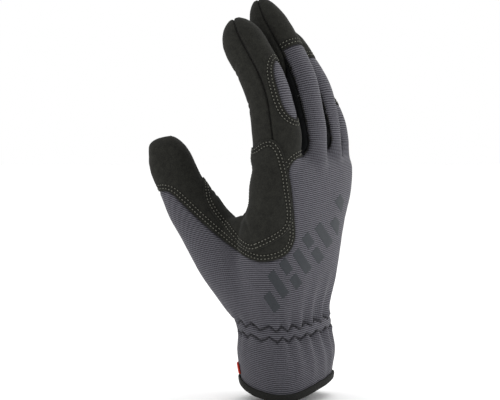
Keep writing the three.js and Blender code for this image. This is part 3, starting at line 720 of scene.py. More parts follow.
        # the border of the suede on the hand
        flat = np.stack([at["u"], at["z"]], 1)
        border = flat_outline(SUEDE_BORDER, size, closed=False)
        corners = np.array(SUEDE_CORNERS) * (size["knuckle_breadth"], height)
        side = outline_distance(flat, np.vstack([border, corners]))
        place = np.interp(share, FAR_EDGE["up"], FAR_EDGE["place"]) * size["knuckle_depth"]
        far = np.minimum(at["y"] + place, np.maximum(FAR_NEAR - at["w"], at["z"] - FAR_TOP * height))
        hand_suede = np.maximum(np.minimum(side, at["w"] - BORDER_NEAR), far)
        suede = hand_suede * (1 - on_finger) - fabric * on_finger

        # palm and fingers' fronts against the suede on the index finger's back, the thumb and the tips
        little_front = -np.minimum(at["phi"] + SEAM_TURN, LITTLE_TURN - at["phi"])
        index_front = -np.minimum(at["phi"] - INDEX_TURN, SEAM_TURN - at["phi"])
        front = np.where(index, index_front, np.where(little, little_front, turn - SEAM_TURN))
        seam = np.interp(share, INDEX_SEAM["up"], INDEX_SEAM["across"]) * size["knuckle_breadth"]
        index_side = np.minimum(at["u"] - seam, at["w"] - INDEX_NEAR)
        thumb_side = (at["hand"] - at["thumb"]) * THUMB_SEAM
        palm = -np.maximum(index_side, thumb_side)
        front = palm * (1 - on_finger) + front * DEGREE_LENGTH * on_finger

        hem = at["z"] - hem_lift(at["turn"]) - HEM_TRIM
        hem = np.where((at["hand"] < CORE) & (share < CORE_TOP), TAKEN_OUT, hem)
        low, high = (at["z"] - self.elastic_line(row, at["turn"]) for row in (0, 1))
        elastic = np.minimum(np.abs(low), np.abs(high))
        return dict(hem=hem, strip=strip, suede=suede, front=front, cuff=low, elastic=elastic)

    def cloth_map(self, at):
        """Places on the cloth: across and along the ribs, in millimetres."""
        height = self.size["height"]
        on_finger = smoothstep(*MAP_BLEND, at["z"] / height)
        foot = np.array([t.place_at(FINGER_ROOT * height) for t in self.fingers])[at["finger"]]
        along = at["up"] * (1 - on_finger) + (FINGER_ROOT * height + at["place"] - foot) * on_finger
        breadth = self.size["knuckle_breadth"]
        climb = np.interp(at["u"] / breadth, RIB_RISE["across"], RIB_RISE["rise"]) * breadth
        along -= climb * smoothstep(*ABOVE_WRIST, at["z"] / height) * (1 - on_finger)
        around = at["turn"] * HAND_RADIUS
        finger_around = FINGERS["root"][at["finger"]] * breadth + np.radians(at["phi"]) * FINGER_RADIUS
        return around * (1 - on_finger) + finger_around * on_finger, along

    def skin(self):
        """The whole outer face as a bmesh, before it is cut along the seams."""
        bm = bmesh.new()
        height = self.size["height"]
        heights = np.linspace(0.0, HAND["height"][-1], HAND_SECTIONS)
        below = self.hand.ring(0.0, HAND_SIDES, drop=HEM_DROP)
        loft(bm, [below] + [self.hand.ring(share, HAND_SIDES) for share in heights])
        for tube in [*self.fingers, self.thumb]:
            loft(bm, tube.rings(FINGER_SIDES))
        loft(bm, self.web().rings(WEB_SIDES))
        bmesh.ops.recalc_face_normals(bm, faces=bm.faces)
        bm = with_modifier(bm, "REMESH", mode="VOXEL", voxel_size=self.size["mesh_step"])
        self.blend_joins(bm)
        points = positions(bm)
        at = self.measure(points)
        bm.normal_update()
        gathers = self.gathers(at) * (at["z"] < GATHERED * height)
        out = gathers + self.creases(at, points) + self.dents(at, bm)
        for vert, distance in zip(bm.verts, out):
            vert.co += vert.normal * distance
        smooth(bm, bm.verts)
        return bm

    def blend_joins(self, bm):
        """Rounds the joins of fingers, thumb and hand, most where two forms lie nearest."""
        points = positions(bm)
        hand = self.hand.coordinates(points)[1]
        above = points[:, 2] > HAND["height"][-1] * self.size["height"] + ABOVE_HAND
        hand = np.where(above, NOT_NEAR, hand)
        tubes = [tube.coordinates(points)[1] for tube in [*self.fingers, self.thumb]]
        second = np.sort(np.array([hand, *tubes]), 0)[1]
        verts = np.array(bm.verts)
        for limit, rounds in JOIN_ROUNDS:
            chosen = list(verts[second < limit])
            for _ in range(rounds):
                smooth(bm, chosen)


# Cutting the skin along its seams.

SNAP = 0.22  # a corner this near to a seam, as a share of an edge, moves onto it
LEAF_FROM, TIPS_FROM = 0.66, 0.7  # shares of the height above which the leaf and the fingertips lie
PALM, THUMB_INDEX, BACK, CUFF, LEAF = "palm", "thumb_index", "back", "cuff", "leaf"
TIPS = {1: "middle_tip", 2: "ring_tip", 3: "little_tip"}
STRIPS = ["index_middle_strip", "middle_ring_strip", "ring_little_strip"]
LABELS = [PALM, THUMB_INDEX, BACK, CUFF, LEAF, *TIPS.values(), *STRIPS]
FABRIC = {BACK, CUFF, LEAF}
SUEDE = {PALM, THUMB_INDEX, *TIPS.values()}


def cut_along(bm, field, pinned, wanted):
    """Splits the faces along the zero line of a field that is stored on the vertices."""

    def crossed(edge):
        a, b = edge.verts
        return a[field] * b[field] < 0 and wanted(a) and wanted(b)

    for edge in [e for e in bm.edges if crossed(e)]:
        a, b = edge.verts
        if a[field] * b[field] < 0:
            part = a[field] / (a[field] - b[field])
            for vert, other, share in ((a, b, part), (b, a, 1 - part)):
                if share < SNAP and not vert[pinned]:
                    vert.co = vert.co.lerp(other.co, share)
                    vert[field] = 0
                    break
    for edge in [e for e in bm.edges if crossed(e)]:
        a, b = edge.verts
        _, vert = bmesh.utils.edge_split(edge, a, a[field] / (a[field] - b[field]))
        vert[field] = 0
    line = [v for v in bm.verts if v[field] == 0 and wanted(v)]
    for vert in line:
        vert[pinned] = 1
    bmesh.ops.connect_verts(bm, verts=line)


class CutSkin:
    """The skin cut along its seams, each face marked with the piece that it belongs to."""

    def __init__(self):
        self.form = Form()
        self.bm = bm = self.form.skin()
        at = self.form.measure(positions(bm))
        fields = self.form.seams(at)
        fields["across"], fields["along"] = self.form.cloth_map(at)
        layers = {name: bm.verts.layers.float.new(name) for name in fields}
        pinned = bm.verts.layers.int.new("pinned")
        for name, layer in layers.items():
            for vert, value in zip(bm.verts, fields[name].tolist()):
                vert[layer] = value
        hem, strip, suede, front, cuff = (layers[n] for n in ("hem", "strip", "suede", "front", "cuff"))
        cut_along(bm, hem, pinned, lambda v: True)
        bmesh.ops.delete(bm, geom=[f for f in bm.faces if sum(v[hem] for v in f.verts) < 0], context="FACES")
        cut_along(bm, strip, pinned, lambda v: True)
        cut_along(bm, suede, pinned, lambda v: v[strip] <= 0)
        cut_along(bm, front, pinned, lambda v: v[strip] <= 0 and v[suede] >= 0)
        cut_along(bm, cuff, pinned, lambda v: True)
        self.refine(pinned)
        self.mark(strip, suede, front, cuff)
        self.straighten()
        bm.normal_update()

    def refine(self, pinned):
        """Halves the faces that touch a seam."""
        near = {v for seam in self.bm.verts if seam[pinned] for f in seam.link_faces for v in f.verts}
        edges = [e for e in self.bm.edges if e.verts[0] in near and e.verts[1] in near]
        bmesh.ops.subdivide_edges(self.bm, edges=edges, cuts=1, use_grid_fill=True)
        bmesh.ops.triangulate(self.bm, faces=[f for f in self.bm.faces if len(f.verts) > 4])

    def straighten(self, rounds=6):
        """Takes the small steps of the mesh out of the seams."""
        beside = {}
        for edge in self.bm.edges:
            if len({f[self.piece] for f in edge.link_faces}) > 1:
                for a, b in both_ways(edge):
                    beside.setdefault(a, []).append(b)
        inner = {v: pair for v, pair in beside.items() if len(pair) == 2}
        for _ in range(rounds):
            moved = {v: v.co / 2 + (a.co + b.co) / 4 for v, (a, b) in inner.items()}
            for vert, place in moved.items():
                vert.co = place
        near = {v for seam in beside for e in seam.link_edges for v in e.verts} - set(beside)
        for _ in range(rounds // 2):
            smooth(self.bm, list(near))

    def mark(self, strip, suede, front, cuff):
        """Gives each face the number of its piece, and each corner the pieces that it touches."""
        bm = self.bm
        self.piece = bm.faces.layers.int.new("piece")
        self.kinds = bm.verts.layers.int.new("kinds")
        at = self.form.measure(np.array([f.calc_center_median()[:] for f in bm.faces]))
        height = self.form.size["height"]
        for i, face in enumerate(bm.faces):
            finger, right, share = int(at["finger"][i]), at["phi"][i] > 0, at["z"][i] / height
            on_strip, on_cuff, on_suede, on_front = (
                sum(v[layer] for v in face.verts) for layer in (strip, cuff, suede, front)
            )
            if on_strip > 0:
                label = STRIPS[min(2, max(0, finger - 1 + right))]
            elif on_cuff < 0:
                label = CUFF
            elif on_suede < 0:
                label = LEAF if finger == 0 and share > LEAF_FROM else BACK
            elif on_front > 0:
                label = PALM
            else:
                label = TIPS[finger] if finger and share > TIPS_FROM else THUMB_INDEX
            face[self.piece] = LABELS.index(label)
        for face in bm.faces:
            beside = [f[self.piece] for e in face.edges for f in e.link_faces if f is not face]
            if beside and face[self.piece] not in beside:
                face[self.piece] = max(beside, key=beside.count)
        for face in bm.faces:
            for vert in face.verts:
                vert[self.kinds] |= 1 << face[self.piece]

    def copy(self, *labels):
        """The faces of some pieces, as a bmesh of their own."""
        numbers = {LABELS.index(label) for label in labels}
        bm = self.bm.copy()
        piece = bm.faces.layers.int["piece"]
        bmesh.ops.delete(bm, geom=[f for f in bm.faces if f[piece] not in numbers], context="FACES")
        return bm

    def seam(self, inside, outside):
        """The seams between some pieces and others, as lines of points."""
        inside, outside = ({LABELS.index(label) for label in labels} for labels in (inside, outside))
        beside = {}
        for edge in self.bm.edges:
            marks = [f[self.piece] for f in edge.link_faces]
            if len(marks) == 2 and any(a in inside and b in outside for a, b in (marks, marks[::-1])):
                for a, b in both_ways(edge):
                    beside.setdefault(a, []).append(b)
        return chains(beside)


def both_ways(edge):
    """An edge's two ends, in both orders."""
    a, b = edge.verts
    return (a, b), (b, a)


def chains(beside):
    """Runs of points, from a dictionary of each vertex's neighbours along a line."""
    lines, left = [], {v: list(others) for v, others in beside.items()}
    for start in sorted(left, key=lambda v: len(beside[v]) != 1):
        while left[start]:
            run, vert = [start], start
            while left[vert]:
                following = left[vert].pop()
                left[following].remove(vert)
                run.append(following)
                vert = following
            lines.append(np.array([v.co[:] for v in run]))
    return sorted(lines, key=len, reverse=True)


def even_line(points, step, rounds=6):
    """A line smoothed and set out again in even steps."""
    closed = np.linalg.norm(points[0] - points[-1]) < 1e-6
    points = points.copy()
    for _ in range(rounds):
        before, after = (points[-2:-1], points[1:2]) if closed else (points[:1], points[-1:])
        around = np.vstack([before, points, after])
        points = (around[:-2] + 2 * around[1:-1] + around[2:]) / 4
    along = np.concatenate([[0], np.cumsum(np.linalg.norm(np.diff(points, axis=0), axis=1))])
    count = max(3, int(along[-1] / step) + 1)
    at = np.linspace(0, along[-1], count)
    return np.stack([np.interp(at, along, column) for column in points.T], 1)


BUILT = {}  # what is made once and used by several operators


def skin():
    """The cut skin, made once."""
    if "skin" not in BUILT:
        BUILT["skin"] = CutSkin()
        BUILT["faces"] = {}
    return BUILT["skin"]


# Turning faces into finished pieces.

# An edge's shape, by what it meets: how deep it goes in, how wide, and how far the cloth stands out by it.
FLAT_EDGE = (0.0, 1.0, 0.0)
LAPPING_EDGE = (0.1, 0.8, 0.0)
COVERED_EDGE = (0.45, 1.3, 0.1)
TURNED_EDGE = (0.8, 0.6, 0.2)
EDGE_REACH = 8  # how far from an edge its shape is felt
PUCKER, PUCKER_WIDTH, PUCKER_REACH = 0.14, 3.1, 4  # unevenness where cloth is sewn down
PUFF_PLACE, PUFF_WIDTH = 2.4, 1.6  # where the cloth stands out beside an edge
NO_SEAM_SHADE = 6.0  # stands for a seam too far off for its painted shade to darken the cloth
ELASTIC_SHADE = 0.9  # how far off an elastic row counts as a seam, for the shade painted in its crease, as a share of its distance


def shape_edges(bm, label, out):
    """Sets a piece out from the skin, rolls its edges in at turned seams and presses it down under a lap. It
    also stores in the layer seam how near a seam groove or an elastic crease lies, for the shade painted
    there.
    """
    kinds = bm.verts.layers.int["kinds"]
    elastic = bm.verts.layers.float["elastic"]
    # The layer seam carries how far each point lies from a groove or crease; the materials paint shade into
    # the colour by it.
    seam = bm.verts.layers.float.new("seam")
    own = 1 << LABELS.index(label)
    suede, fabric = (sum(1 << LABELS.index(name) for name in names) for names in (SUEDE, FABRIC))
    edge = []
    for vert in bm.verts:
        if not vert.is_boundary:
            continue
        others = vert[kinds] & ~own
        if not others or (label in FABRIC and others & fabric):
            shape = FLAT_EDGE
        elif label in SUEDE and others & fabric:
            shape = LAPPING_EDGE
        elif label in FABRIC and others & suede:
            shape = COVERED_EDGE
        else:
            shape = TURNED_EDGE
        edge.append((vert, *shape))
    tree = KDTree(len(edge))
    for i, (vert, *_) in enumerate(edge):
        tree.insert(vert.co, i)
    tree.balance()
    moves = []
    for vert in bm.verts:
        _, i, distance = tree.find(vert.co)
        shift = out
        vert[seam] = min(NO_SEAM_SHADE, ELASTIC_SHADE * vert[elastic])
        if distance < EDGE_REACH:
            _, depth, width, puff = edge[i]
            pucker = 0
            if depth in (LAPPING_EDGE[0], COVERED_EDGE[0]):
                pucker = PUCKER * noise.noise(vert.co / PUCKER_WIDTH) * math.exp(-distance / PUCKER_REACH)
            swelling = puff * math.exp(-(((distance - PUFF_PLACE) / PUFF_WIDTH) ** 2))
            shift += swelling - depth * math.exp(-((distance / width) ** 2)) + pucker
            # A covered or turned edge gets painted shade along its groove.
            if depth >= COVERED_EDGE[0]:
                vert[seam] = min(distance, vert[seam])
        moves.append(shift)
    for vert, shift in zip(bm.verts, moves):
        vert.co += vert.normal * shift


CLOTH_UNIT = 0.01  # of the cloth map: a millimetre on the cloth
ROUND_HAND = 2 * math.pi * HAND_RADIUS


def map_cloth(bm):
    """Writes the places on the cloth into a UV map, whose unit is 100 mm."""
    across, along = (bm.verts.layers.float[name] for name in ("across", "along"))
    cloth = bm.loops.layers.uv.new("cloth")
    for face in bm.faces:
        places = [loop.vert[across] for loop in face.loops]
        wrapped = max(places) - min(places) > ROUND_HAND / 2
        for loop, place in zip(face.loops, places):
            shifted = place + ROUND_HAND if wrapped and place < 0 else place
            loop[cloth].uv = (shifted * CLOTH_UNIT, loop.vert[along] * CLOTH_UNIT)


def finish_piece(name, bm, nodes, materials, wall=0.0):
    """Makes an object of a bmesh in millimetres, gives it its wall and ties it to the frame."""
    for face in bm.faces:
        face.smooth = True
    mesh = bpy.data.meshes.new(name)
    bm.to_mesh(mesh)
    bm.free()
    mesh.transform(Matrix.Scale(MM, 4))
    thing = link(name, mesh)
    for material in materials:
        mesh.materials.append(material)
    if wall:
        solid = thing.modifiers.new("wall", "SOLIDIFY")
        solid.thickness = wall * MM
        solid.offset = -1
        solid.use_even_offset = False
        solid.material_offset = len(materials) - 1
        solid.material_offset_rim = 0
    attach(thing, BODY)
    if nodes:
        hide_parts(*nodes)
    return thing


def panel(name, label, out, nodes, materials):
    """One cut panel of cloth."""
    bm = skin().copy(label)
    shape_edges(bm, label, out)
    map_cloth(bm)
    bm.normal_update()
    BUILT["faces"][name] = (BVHTree.FromBMesh(bm), bm.copy())
    return finish_piece(name, bm, nodes, materials, skin().form.size["cloth"])


OVERLAY_MARGIN = 2.5  # how far past its outline a face is kept before it is cut
ROLL_WIDTH, ROLL_SHARE = 1.2, 0.35  # how an overlay's edge rolls down: its width, and its share of the wall


def overlay(source, field, out, wall, finer=True):
    """Part of a face, cut along the zero line of a field and set out from it."""
    bm = source.copy()
    values = field(positions(bm))
    far = [f for f in bm.faces if max(values[v.index] for v in f.verts) < -OVERLAY_MARGIN]
    bmesh.ops.delete(bm, geom=far, context="FACES")
    if finer:
        bmesh.ops.subdivide_edges(bm, edges=bm.edges, cuts=1, use_grid_fill=True)
    layer = bm.verts.layers.float.new("outline")
    pinned = bm.verts.layers.int.new("outline_pinned")
    seam = bm.verts.layers.float.get("seam") or bm.verts.layers.float.new("seam")
    for vert, value in zip(bm.verts, field(positions(bm)).tolist()):
        vert[layer] = value
    cut_along(bm, layer, pinned, lambda v: True)
    bmesh.ops.delete(bm, geom=[f for f in bm.faces if sum(v[layer] for v in f.verts) < 0], context="FACES")
    bm.normal_update()
    for vert in bm.verts:
        inner = min(1.0, vert[layer] / ROLL_WIDTH)
        # An overlay gets no painted seam shade.
        vert[seam] = NO_SEAM_SHADE
        vert.co += vert.normal * (out - ROLL_SHARE * wall * (1 - math.sqrt(max(0, inner * (2 - inner)))))
    bm.normal_update()
    return bm


def border_line(bm):
    """The longest open edge of a face."""
    beside = {}
    for edge in bm.edges:
        if edge.is_boundary:
            for a, b in both_ways(edge):
                beside.setdefault(a, []).append(b)
    return chains(beside)[0]


# Stitches.

STITCH_LENGTH = 1.3
STITCH_WIDTH = 0.62
STITCH_DEPTH = 0.5
STITCH_SUNK = 0.06
ROW_STEP = 0.8  # how far a row is followed over the cloth at a time
ROW_REACHED = 0.8  # a row's point that goes less far, as a share of its distance, has met the face's far edge
ROW_BREAK = 5  # a wider gap between a row's points leaves the cloth bare
ROW_LEAST = 4  # points in a row, below which it isn't sewn
SEWN = []  # points along the rows sewn so far
PRESS_DEPTH, PRESS_WIDTH = 0.22, 0.75  # how far the thread pulls the cloth in, and how wide, which is also how wide the painted shade along the rows is
PRESS_STEP = 0.5


def press_rows(*names):
    """Presses the cloth in along the rows of stitches, and marks how far, for the shade painted along them.
    """
    tree = KDTree(len(SEWN))
    for i, point in enumerate(SEWN):
        tree.insert(point, i)
    tree.balance()
    for name in names:
        mesh = bpy.data.objects[name].data
        press_shade = mesh.attributes.new("press_shade", "FLOAT", "POINT")
        moved = [vert.co.copy() for vert in mesh.vertices]
        for i, vert in enumerate(mesh.vertices):
            share = math.exp(-((tree.find(vert.co / MM)[2] / PRESS_WIDTH) ** 2))
            press_shade.data[i].value = share
            moved[i] -= vert.normal * PRESS_DEPTH * MM * share
        for vert, place in zip(mesh.vertices, moved):
            vert.co = place


def add_stitch(bm, place, ahead, up, long, wide):
    """One stitch: a short bead of thread along ahead, half sunk into the cloth."""
    side = up.cross(ahead).normalized()
    shape = Matrix((ahead * long / 2, side * wide / 2, up * STITCH_DEPTH / 2)).transposed().to_4x4()
    matrix = Matrix.Translation(place - up * STITCH_SUNK) @ shape
    bmesh.ops.create_uvsphere(bm, u_segments=6, v_segments=4, radius=1, matrix=matrix)


def row_beside(line, faces, distance, step=1.0):
    """A line on a face at a distance from its seam, towards the inside of the face."""

    def gap(place):
        return (faces.find_nearest(place)[0] - place).length

    line = even_line(line, step)
    starts = []
    for point, tangent in zip(line, np.gradient(line, axis=0)):
        place, normal, _, _ = faces.find_nearest(Vector(point))
        side = normal.cross(Vector(tangent)).normalized()
        lead = gap(place - side * ROW_STEP) - gap(place + side * ROW_STEP)
        starts.append((place, side, lead))
    main = 1 if sum(lead for *_, lead in starts) > 0 else -1
    strides = max(1, round(distance / ROW_STEP))
    row = []
    for place, side, _ in starts:
        way, here = side * main, place
        gone = 0.0
        for _ in range(strides):
            following, normal, _, _ = faces.find_nearest(here + way * distance / strides)
            gone += (following - here).length
            way = (way - normal * way.dot(normal)).normalized()
            here = following
        if gone > ROW_REACHED * distance:
            row.append(np.array(here))
    return row


def dropped(line, faces):
    """A line's points, each moved to the nearest place on a face."""
    return [np.array(faces.find_nearest(Vector(point))[0]) for point in line]


def stitch_along(bm, row, faces, pitch, long=STITCH_LENGTH, wide=STITCH_WIDTH):
    """Stitches in a row of points on a face. A gap of the row stays bare."""
    runs, run = [], [row[0]]
    for point in row[1:]:
        if np.linalg.norm(point - run[-1]) > ROW_BREAK:
            runs.append(run)
            run = []
        run.append(point)
    for run in [*runs, run]:
        if len(run) < ROW_LEAST:
            continue
        line = even_line(np.array(run), pitch, rounds=3)
        SEWN.extend(even_line(line, PRESS_STEP, rounds=0))
        for point, tangent in zip(line, np.gradient(line, axis=0)):
            place, normal, _, _ = faces.find_nearest(Vector(point))
            ahead = Vector(tangent)
            ahead = (ahead - normal * ahead.dot(normal)).normalized()
            add_stitch(bm, place, ahead, normal, long, wide)


# Materials.


def per_mm(size):
    """The scale of a pattern whose features measure so many millimetres, on coordinates in metres."""
    return 1 / (size * MM)


def node(tree, kind, inputs=(), **settings):
    """Adds a node, with its settings, and sets or links its inputs."""
    made = tree.nodes.new(kind)
    for name, value in settings.items():
        setattr(made, name, value)
    for name, value in dict(inputs).items():
        if isinstance(value, bpy.types.NodeSocket):
            tree.links.new(value, made.inputs[name])
        else:
            made.inputs[name].default_value = value
    return made


def new_material(name, **inputs):
    """A material with the shader's own sockets set, its nodes and its shader."""
    material = bpy.data.materials.new(name)
    material.use_nodes = True
    shader = material.node_tree.nodes["Principled BSDF"]
    for key, value in inputs.items():
        shader.inputs[key.replace("_", " ")].default_value = value
    return material, material.node_tree, shader


def rgba(values):
    """A colour with its alpha, for a socket."""
    return (*values, 1.0)


def darkened(tree, base, attribute, **ends):
    """A colour darkened by a measure that the mesh carries, by as much as ends says: shade painted into the
    colour.
    """
    carried = node(tree, "ShaderNodeAttribute", attribute_name=attribute).outputs["Fac"]
    ends = {name.replace("_", " "): value for name, value in ends.items()}
    share = node(tree, "ShaderNodeMapRange", {"Value": carried, **ends}).outputs[0]
    inputs = {0: 1.0, 6: base, 7: share}
    return node(tree, "ShaderNodeMix", inputs, data_type="RGBA", blend_type="MULTIPLY").outputs[2]


def mottled(tree, shader, pattern, base, low, high):
    """Colours the shader by a pattern, from a share low of a colour to a share high of it."""
    dark, light = (rgba([min(1, part * share) for part in base]) for share in (low, high))
    mixed = node(tree, "ShaderNodeMix", {0: pattern, 6: dark, 7: light}, data_type="RGBA")
    tree.links.new(mixed.outputs[2], shader.inputs["Base Color"])


def wave_along(tree, place, pitch):
    """A wave along one way of the cloth map, a pitch in millimetres long."""
    turns = {0: place, 1: 2 * math.pi / (pitch * CLOTH_UNIT)}
    turn = node(tree, "ShaderNodeMath", turns, operation="MULTIPLY").outputs[0]
    return node(tree, "ShaderNodeMath", {0: turn}, operation="SINE").outputs[0]


def brushed_suede(colours):
    """Synthetic suede: microfibre cloth brushed to a short nap. It is matt and mottled as the nap lies."""
    looks = dict(Roughness=0.95, Specular_IOR_Level=0.04, Sheen_Weight=0.06, Sheen_Roughness=0.4)
    material, tree, shader = new_material("brushed_microfibre_suede", **looks)
    place = node(tree, "ShaderNodeTexCoord").outputs["Object"]
    # The brushed patches are a few millimetres wide. The nap's fibres are 0.3 mm long, and drawn twice as
    # coarse, because they wouldn't show.
    patches, fibres = (
        node(tree, "ShaderNodeTexNoise", {"Vector": place, **settings})
        for settings in (
            {"Scale": per_mm(3.5), "Detail": 6, "Roughness": 0.72},
            {"Scale": per_mm(0.6), "Detail": 3, "Roughness": 0.6},
        )
    )
    parts = {0: patches.outputs["Fac"], 1: fibres.outputs["Fac"]}
    both = node(tree, "ShaderNodeMath", parts, operation="ADD").outputs[0]
    spread = node(tree, "ShaderNodeMapRange", {"Value": both, "From Min": 0.78, "From Max": 1.28})
    ends = {6: rgba(colours.suede), 7: rgba(colours.suede_light)}
    nap = node(tree, "ShaderNodeMix", {0: spread.outputs[0], **ends}, data_type="RGBA").outputs[2]
    # Painted shade: the nap is darkened in the seam grooves and the elastic creases.
    painted_groove_shade = darkened(tree, nap, "seam", From_Max=0.9, To_Min=0.3)
    # Painted shade along the rows of stitches, where the thread pulls the cloth in.
    sewn = darkened(tree, painted_groove_shade, "press_shade", To_Min=1.0, To_Max=0.55)
    tree.links.new(sewn, shader.inputs["Base Color"])
    normal = {}
    for pattern, strength, depth in ((patches, 0.5, 0.25), (fibres, 0.6, 0.16)):
        bump = {"Height": pattern.outputs["Fac"], "Strength": strength, "Distance": depth * MM, **normal}
        normal = {"Normal": node(tree, "ShaderNodeBump", bump).outputs[0]}
    tree.links.new(normal["Normal"], shader.inputs["Normal"])
    return material


RIB = 1.2  # from one rib of the fabric to the next
TICK = ROUND_HAND / 208  # from one loop of yarn to the next along a rib, an even share of the way round


def ribbed_fabric(colours):
    """Stretch fabric knitted in fine ribs of polyester: soft gloss on the ribs, with shade painted into the
    hollows between them.
    """
    material, tree, shader = new_material(
        "ribbed_polyester_knit", Specular_IOR_Level=0.12, Sheen_Weight=0.04, Sheen_Roughness=0.5
    )
    cloth = node(tree, "ShaderNodeUVMap", uv_map="cloth").outputs[0]
    place = node(tree, "ShaderNodeTexCoord").outputs["Object"]
    parts = node(tree, "ShaderNodeSeparateXYZ", {0: cloth})
    # The real loops along a rib are 0.5 mm apart, too fine for the view, so they are drawn about as far apart
    # as the ribs, and weaker.
    ribs, loops = (
        node(tree, "ShaderNodeMapRange", {"Value": wave_along(tree, parts.outputs[way], far), "From Min": -1})
        for way, far in (("Y", RIB), ("X", TICK))
    )
    yarn = node(tree, "ShaderNodeTexNoise", {"Vector": place, "Scale": per_mm(1.1), "Detail": 3})
    relief = ribs.outputs[0]
    for pattern, weight in ((loops.outputs[0], 0.22), (yarn.outputs["Fac"], 0.5)):
        added = {0: pattern, 1: weight, 2: relief}
        relief = node(tree, "ShaderNodeMath", added, operation="MULTIPLY_ADD").outputs[0]
    # One relief of ribs, loops and yarn sets both the bump and the colour: its low parts get the hollows'
    # painted shade.
    spread = node(tree, "ShaderNodeMapRange", {"Value": relief, "From Min": 0.35, "From Max": 1.25})
    ends = {6: rgba(colours.rib_hollow_shade), 7: rgba(colours.rib_light)}
    knit = node(tree, "ShaderNodeMix", {0: spread.outputs[0], **ends}, data_type="RGBA").outputs[2]
    # Painted shade in the seam grooves and the elastic creases.
    painted_groove_shade = darkened(tree, knit, "seam", From_Max=1.2, To_Min=0.25)
    tree.links.new(painted_groove_shade, shader.inputs["Base Color"])
    rough = node(tree, "ShaderNodeMapRange", {"Value": relief, "To Min": 0.9, "To Max": 0.62})
    tree.links.new(rough.outputs[0], shader.inputs["Roughness"])
    bump = node(tree, "ShaderNodeBump", {"Height": relief, "Strength": 0.8, "Distance": 0.22 * MM})
    tree.links.new(bump.outputs[0], shader.inputs["Normal"])
    return material


def plain_knit(name, base, size):
    """A fine plain knit or woven tape of one colour: small even bumps and a dull face."""
    material, tree, shader = new_material(name, Specular_IOR_Level=0.08, Sheen_Weight=0.02)
    place = node(tree, "ShaderNodeTexCoord").outputs["Object"]
    # Loops of yarn are 0.4 mm apart, too fine for the view, so they are drawn at the size given.
    loops = node(tree, "ShaderNodeTexVoronoi", {"Vector": place, "Scale": per_mm(size)}, feature="F1")
    cloud = node(tree, "ShaderNodeTexNoise", {"Vector": place, "Scale": per_mm(size * 7), "Detail": 4})
    mottled(tree, shader, cloud.outputs["Fac"], base, 0.75, 1.3)
    rough = node(tree, "ShaderNodeMapRange", {"Value": cloud.outputs["Fac"], "To Min": 0.65, "To Max": 0.9})
    tree.links.new(rough.outputs[0], shader.inputs["Roughness"])
    relief = {"Height": loops.outputs["Distance"], "Strength": 0.6, "Distance": 0.18 * size * MM}
    bump = node(tree, "ShaderNodeBump", relief, invert=True)
    tree.links.new(bump.outputs[0], shader.inputs["Normal"])
    return material


def thread(name, base):
    """Spun polyester thread: a little gloss and uneven plies."""
    material, tree, shader = new_material(name, Roughness=0.7, Specular_IOR_Level=0.2, Sheen_Weight=0.05)
    place = node(tree, "ShaderNodeTexCoord").outputs["Object"]
    pattern = node(tree, "ShaderNodeTexNoise", {"Vector": place, "Scale": per_mm(0.5), "Detail": 2})
    plies = pattern.outputs["Fac"]
    mottled(tree, shader, plies, base, 0.6, 1.35)
    bump = node(tree, "ShaderNodeBump", {"Height": plies, "Strength": 0.5, "Distance": 0.05 * MM})
    tree.links.new(bump.outputs[0], shader.inputs["Normal"])
    return material


def printed_film(colours):
    """Screen-print ink on the fabric: a thin matt film through which the ribs still show."""
    material, tree, shader = new_material("screen_print_ink", Specular_IOR_Level=0.2, Roughness=0.62)
    cloth = node(tree, "ShaderNodeUVMap", uv_map="cloth").outputs[0]
    place = node(tree, "ShaderNodeTexCoord").outputs["Object"]
    parts = node(tree, "ShaderNodeSeparateXYZ", {0: cloth})
    ribs = wave_along(tree, parts.outputs["Y"], RIB)
    grain = node(tree, "ShaderNodeTexNoise", {"Vector": place, "Scale": per_mm(1.5), "Detail": 4})
    mottled(tree, shader, grain.outputs["Fac"], colours.motif, 0.85, 1.15)
    bump = node(tree, "ShaderNodeBump", {"Height": ribs, "Strength": 0.5, "Distance": 0.05 * MM})
    tree.links.new(bump.outputs[0], shader.inputs["Normal"])
    return material


def painted_floor(colours):
    """A matt painted floor with a trace of grain."""
    material, tree, shader = new_material("matt_paint", Roughness=0.9, Specular_IOR_Level=0.1)
    place = node(tree, "ShaderNodeTexCoord").outputs["Object"]
    grain = node(tree, "ShaderNodeTexNoise", {"Vector": place, "Scale": per_mm(30), "Detail": 3})
    mottled(tree, shader, grain.outputs["Fac"], colours.floor, 1, 0.98)
    return material


def materials():
    """All the glove's materials, made once."""
    if "materials" not in BUILT:
        colours = bpy.context.scene.glove_colours
        BUILT["materials"] = {
            "suede": brushed_suede(colours),
            "fabric": ribbed_fabric(colours),
            "strip": plain_knit("black_stretch_knit", colours.strip, 0.8),
            "binding": plain_knit("woven_polyester_tape", colours.binding, 0.7),
            "lining": plain_knit("brushed_tricot_lining", colours.lining, 1.2),
            "tab": plain_knit("woven_label_tape", colours.tab, 0.6),
            "thread": thread("spun_polyester_thread", colours.thread),
            "dark_thread": thread("dark_polyester_thread", colours.dark_thread),
            "motif": printed_film(colours),
        }
    return BUILT["materials"]


# The operators. Each makes a piece or a group of like pieces.


SUEDE_OUT = 0.35  # how far the suede lies over the fabric
STRIP_OUT = -0.15  # the strips lie a little deeper than the fabric


class GLOVE_OT_suede(bpy.types.Operator):
    """Make the suede palm, the thumb and index piece, and the fingertips."""

    bl_idname = "glove.suede"
    bl_label = "Suede pieces"

    def execute(self, context):
        made = materials()
        faces = [made["suede"], made["lining"]]
        panel("palm_suede", PALM, SUEDE_OUT, ["palm"], faces)
        panel("thumb_index_suede", THUMB_INDEX, SUEDE_OUT, ["thumb_suede", "index_suede"], faces)
        for finger, label in TIPS.items():
            node_name = f"{FINGER_NAMES[finger]}_suede"
            panel(f"{label}_suede", label, SUEDE_OUT, [node_name], faces)
        return {"FINISHED"}


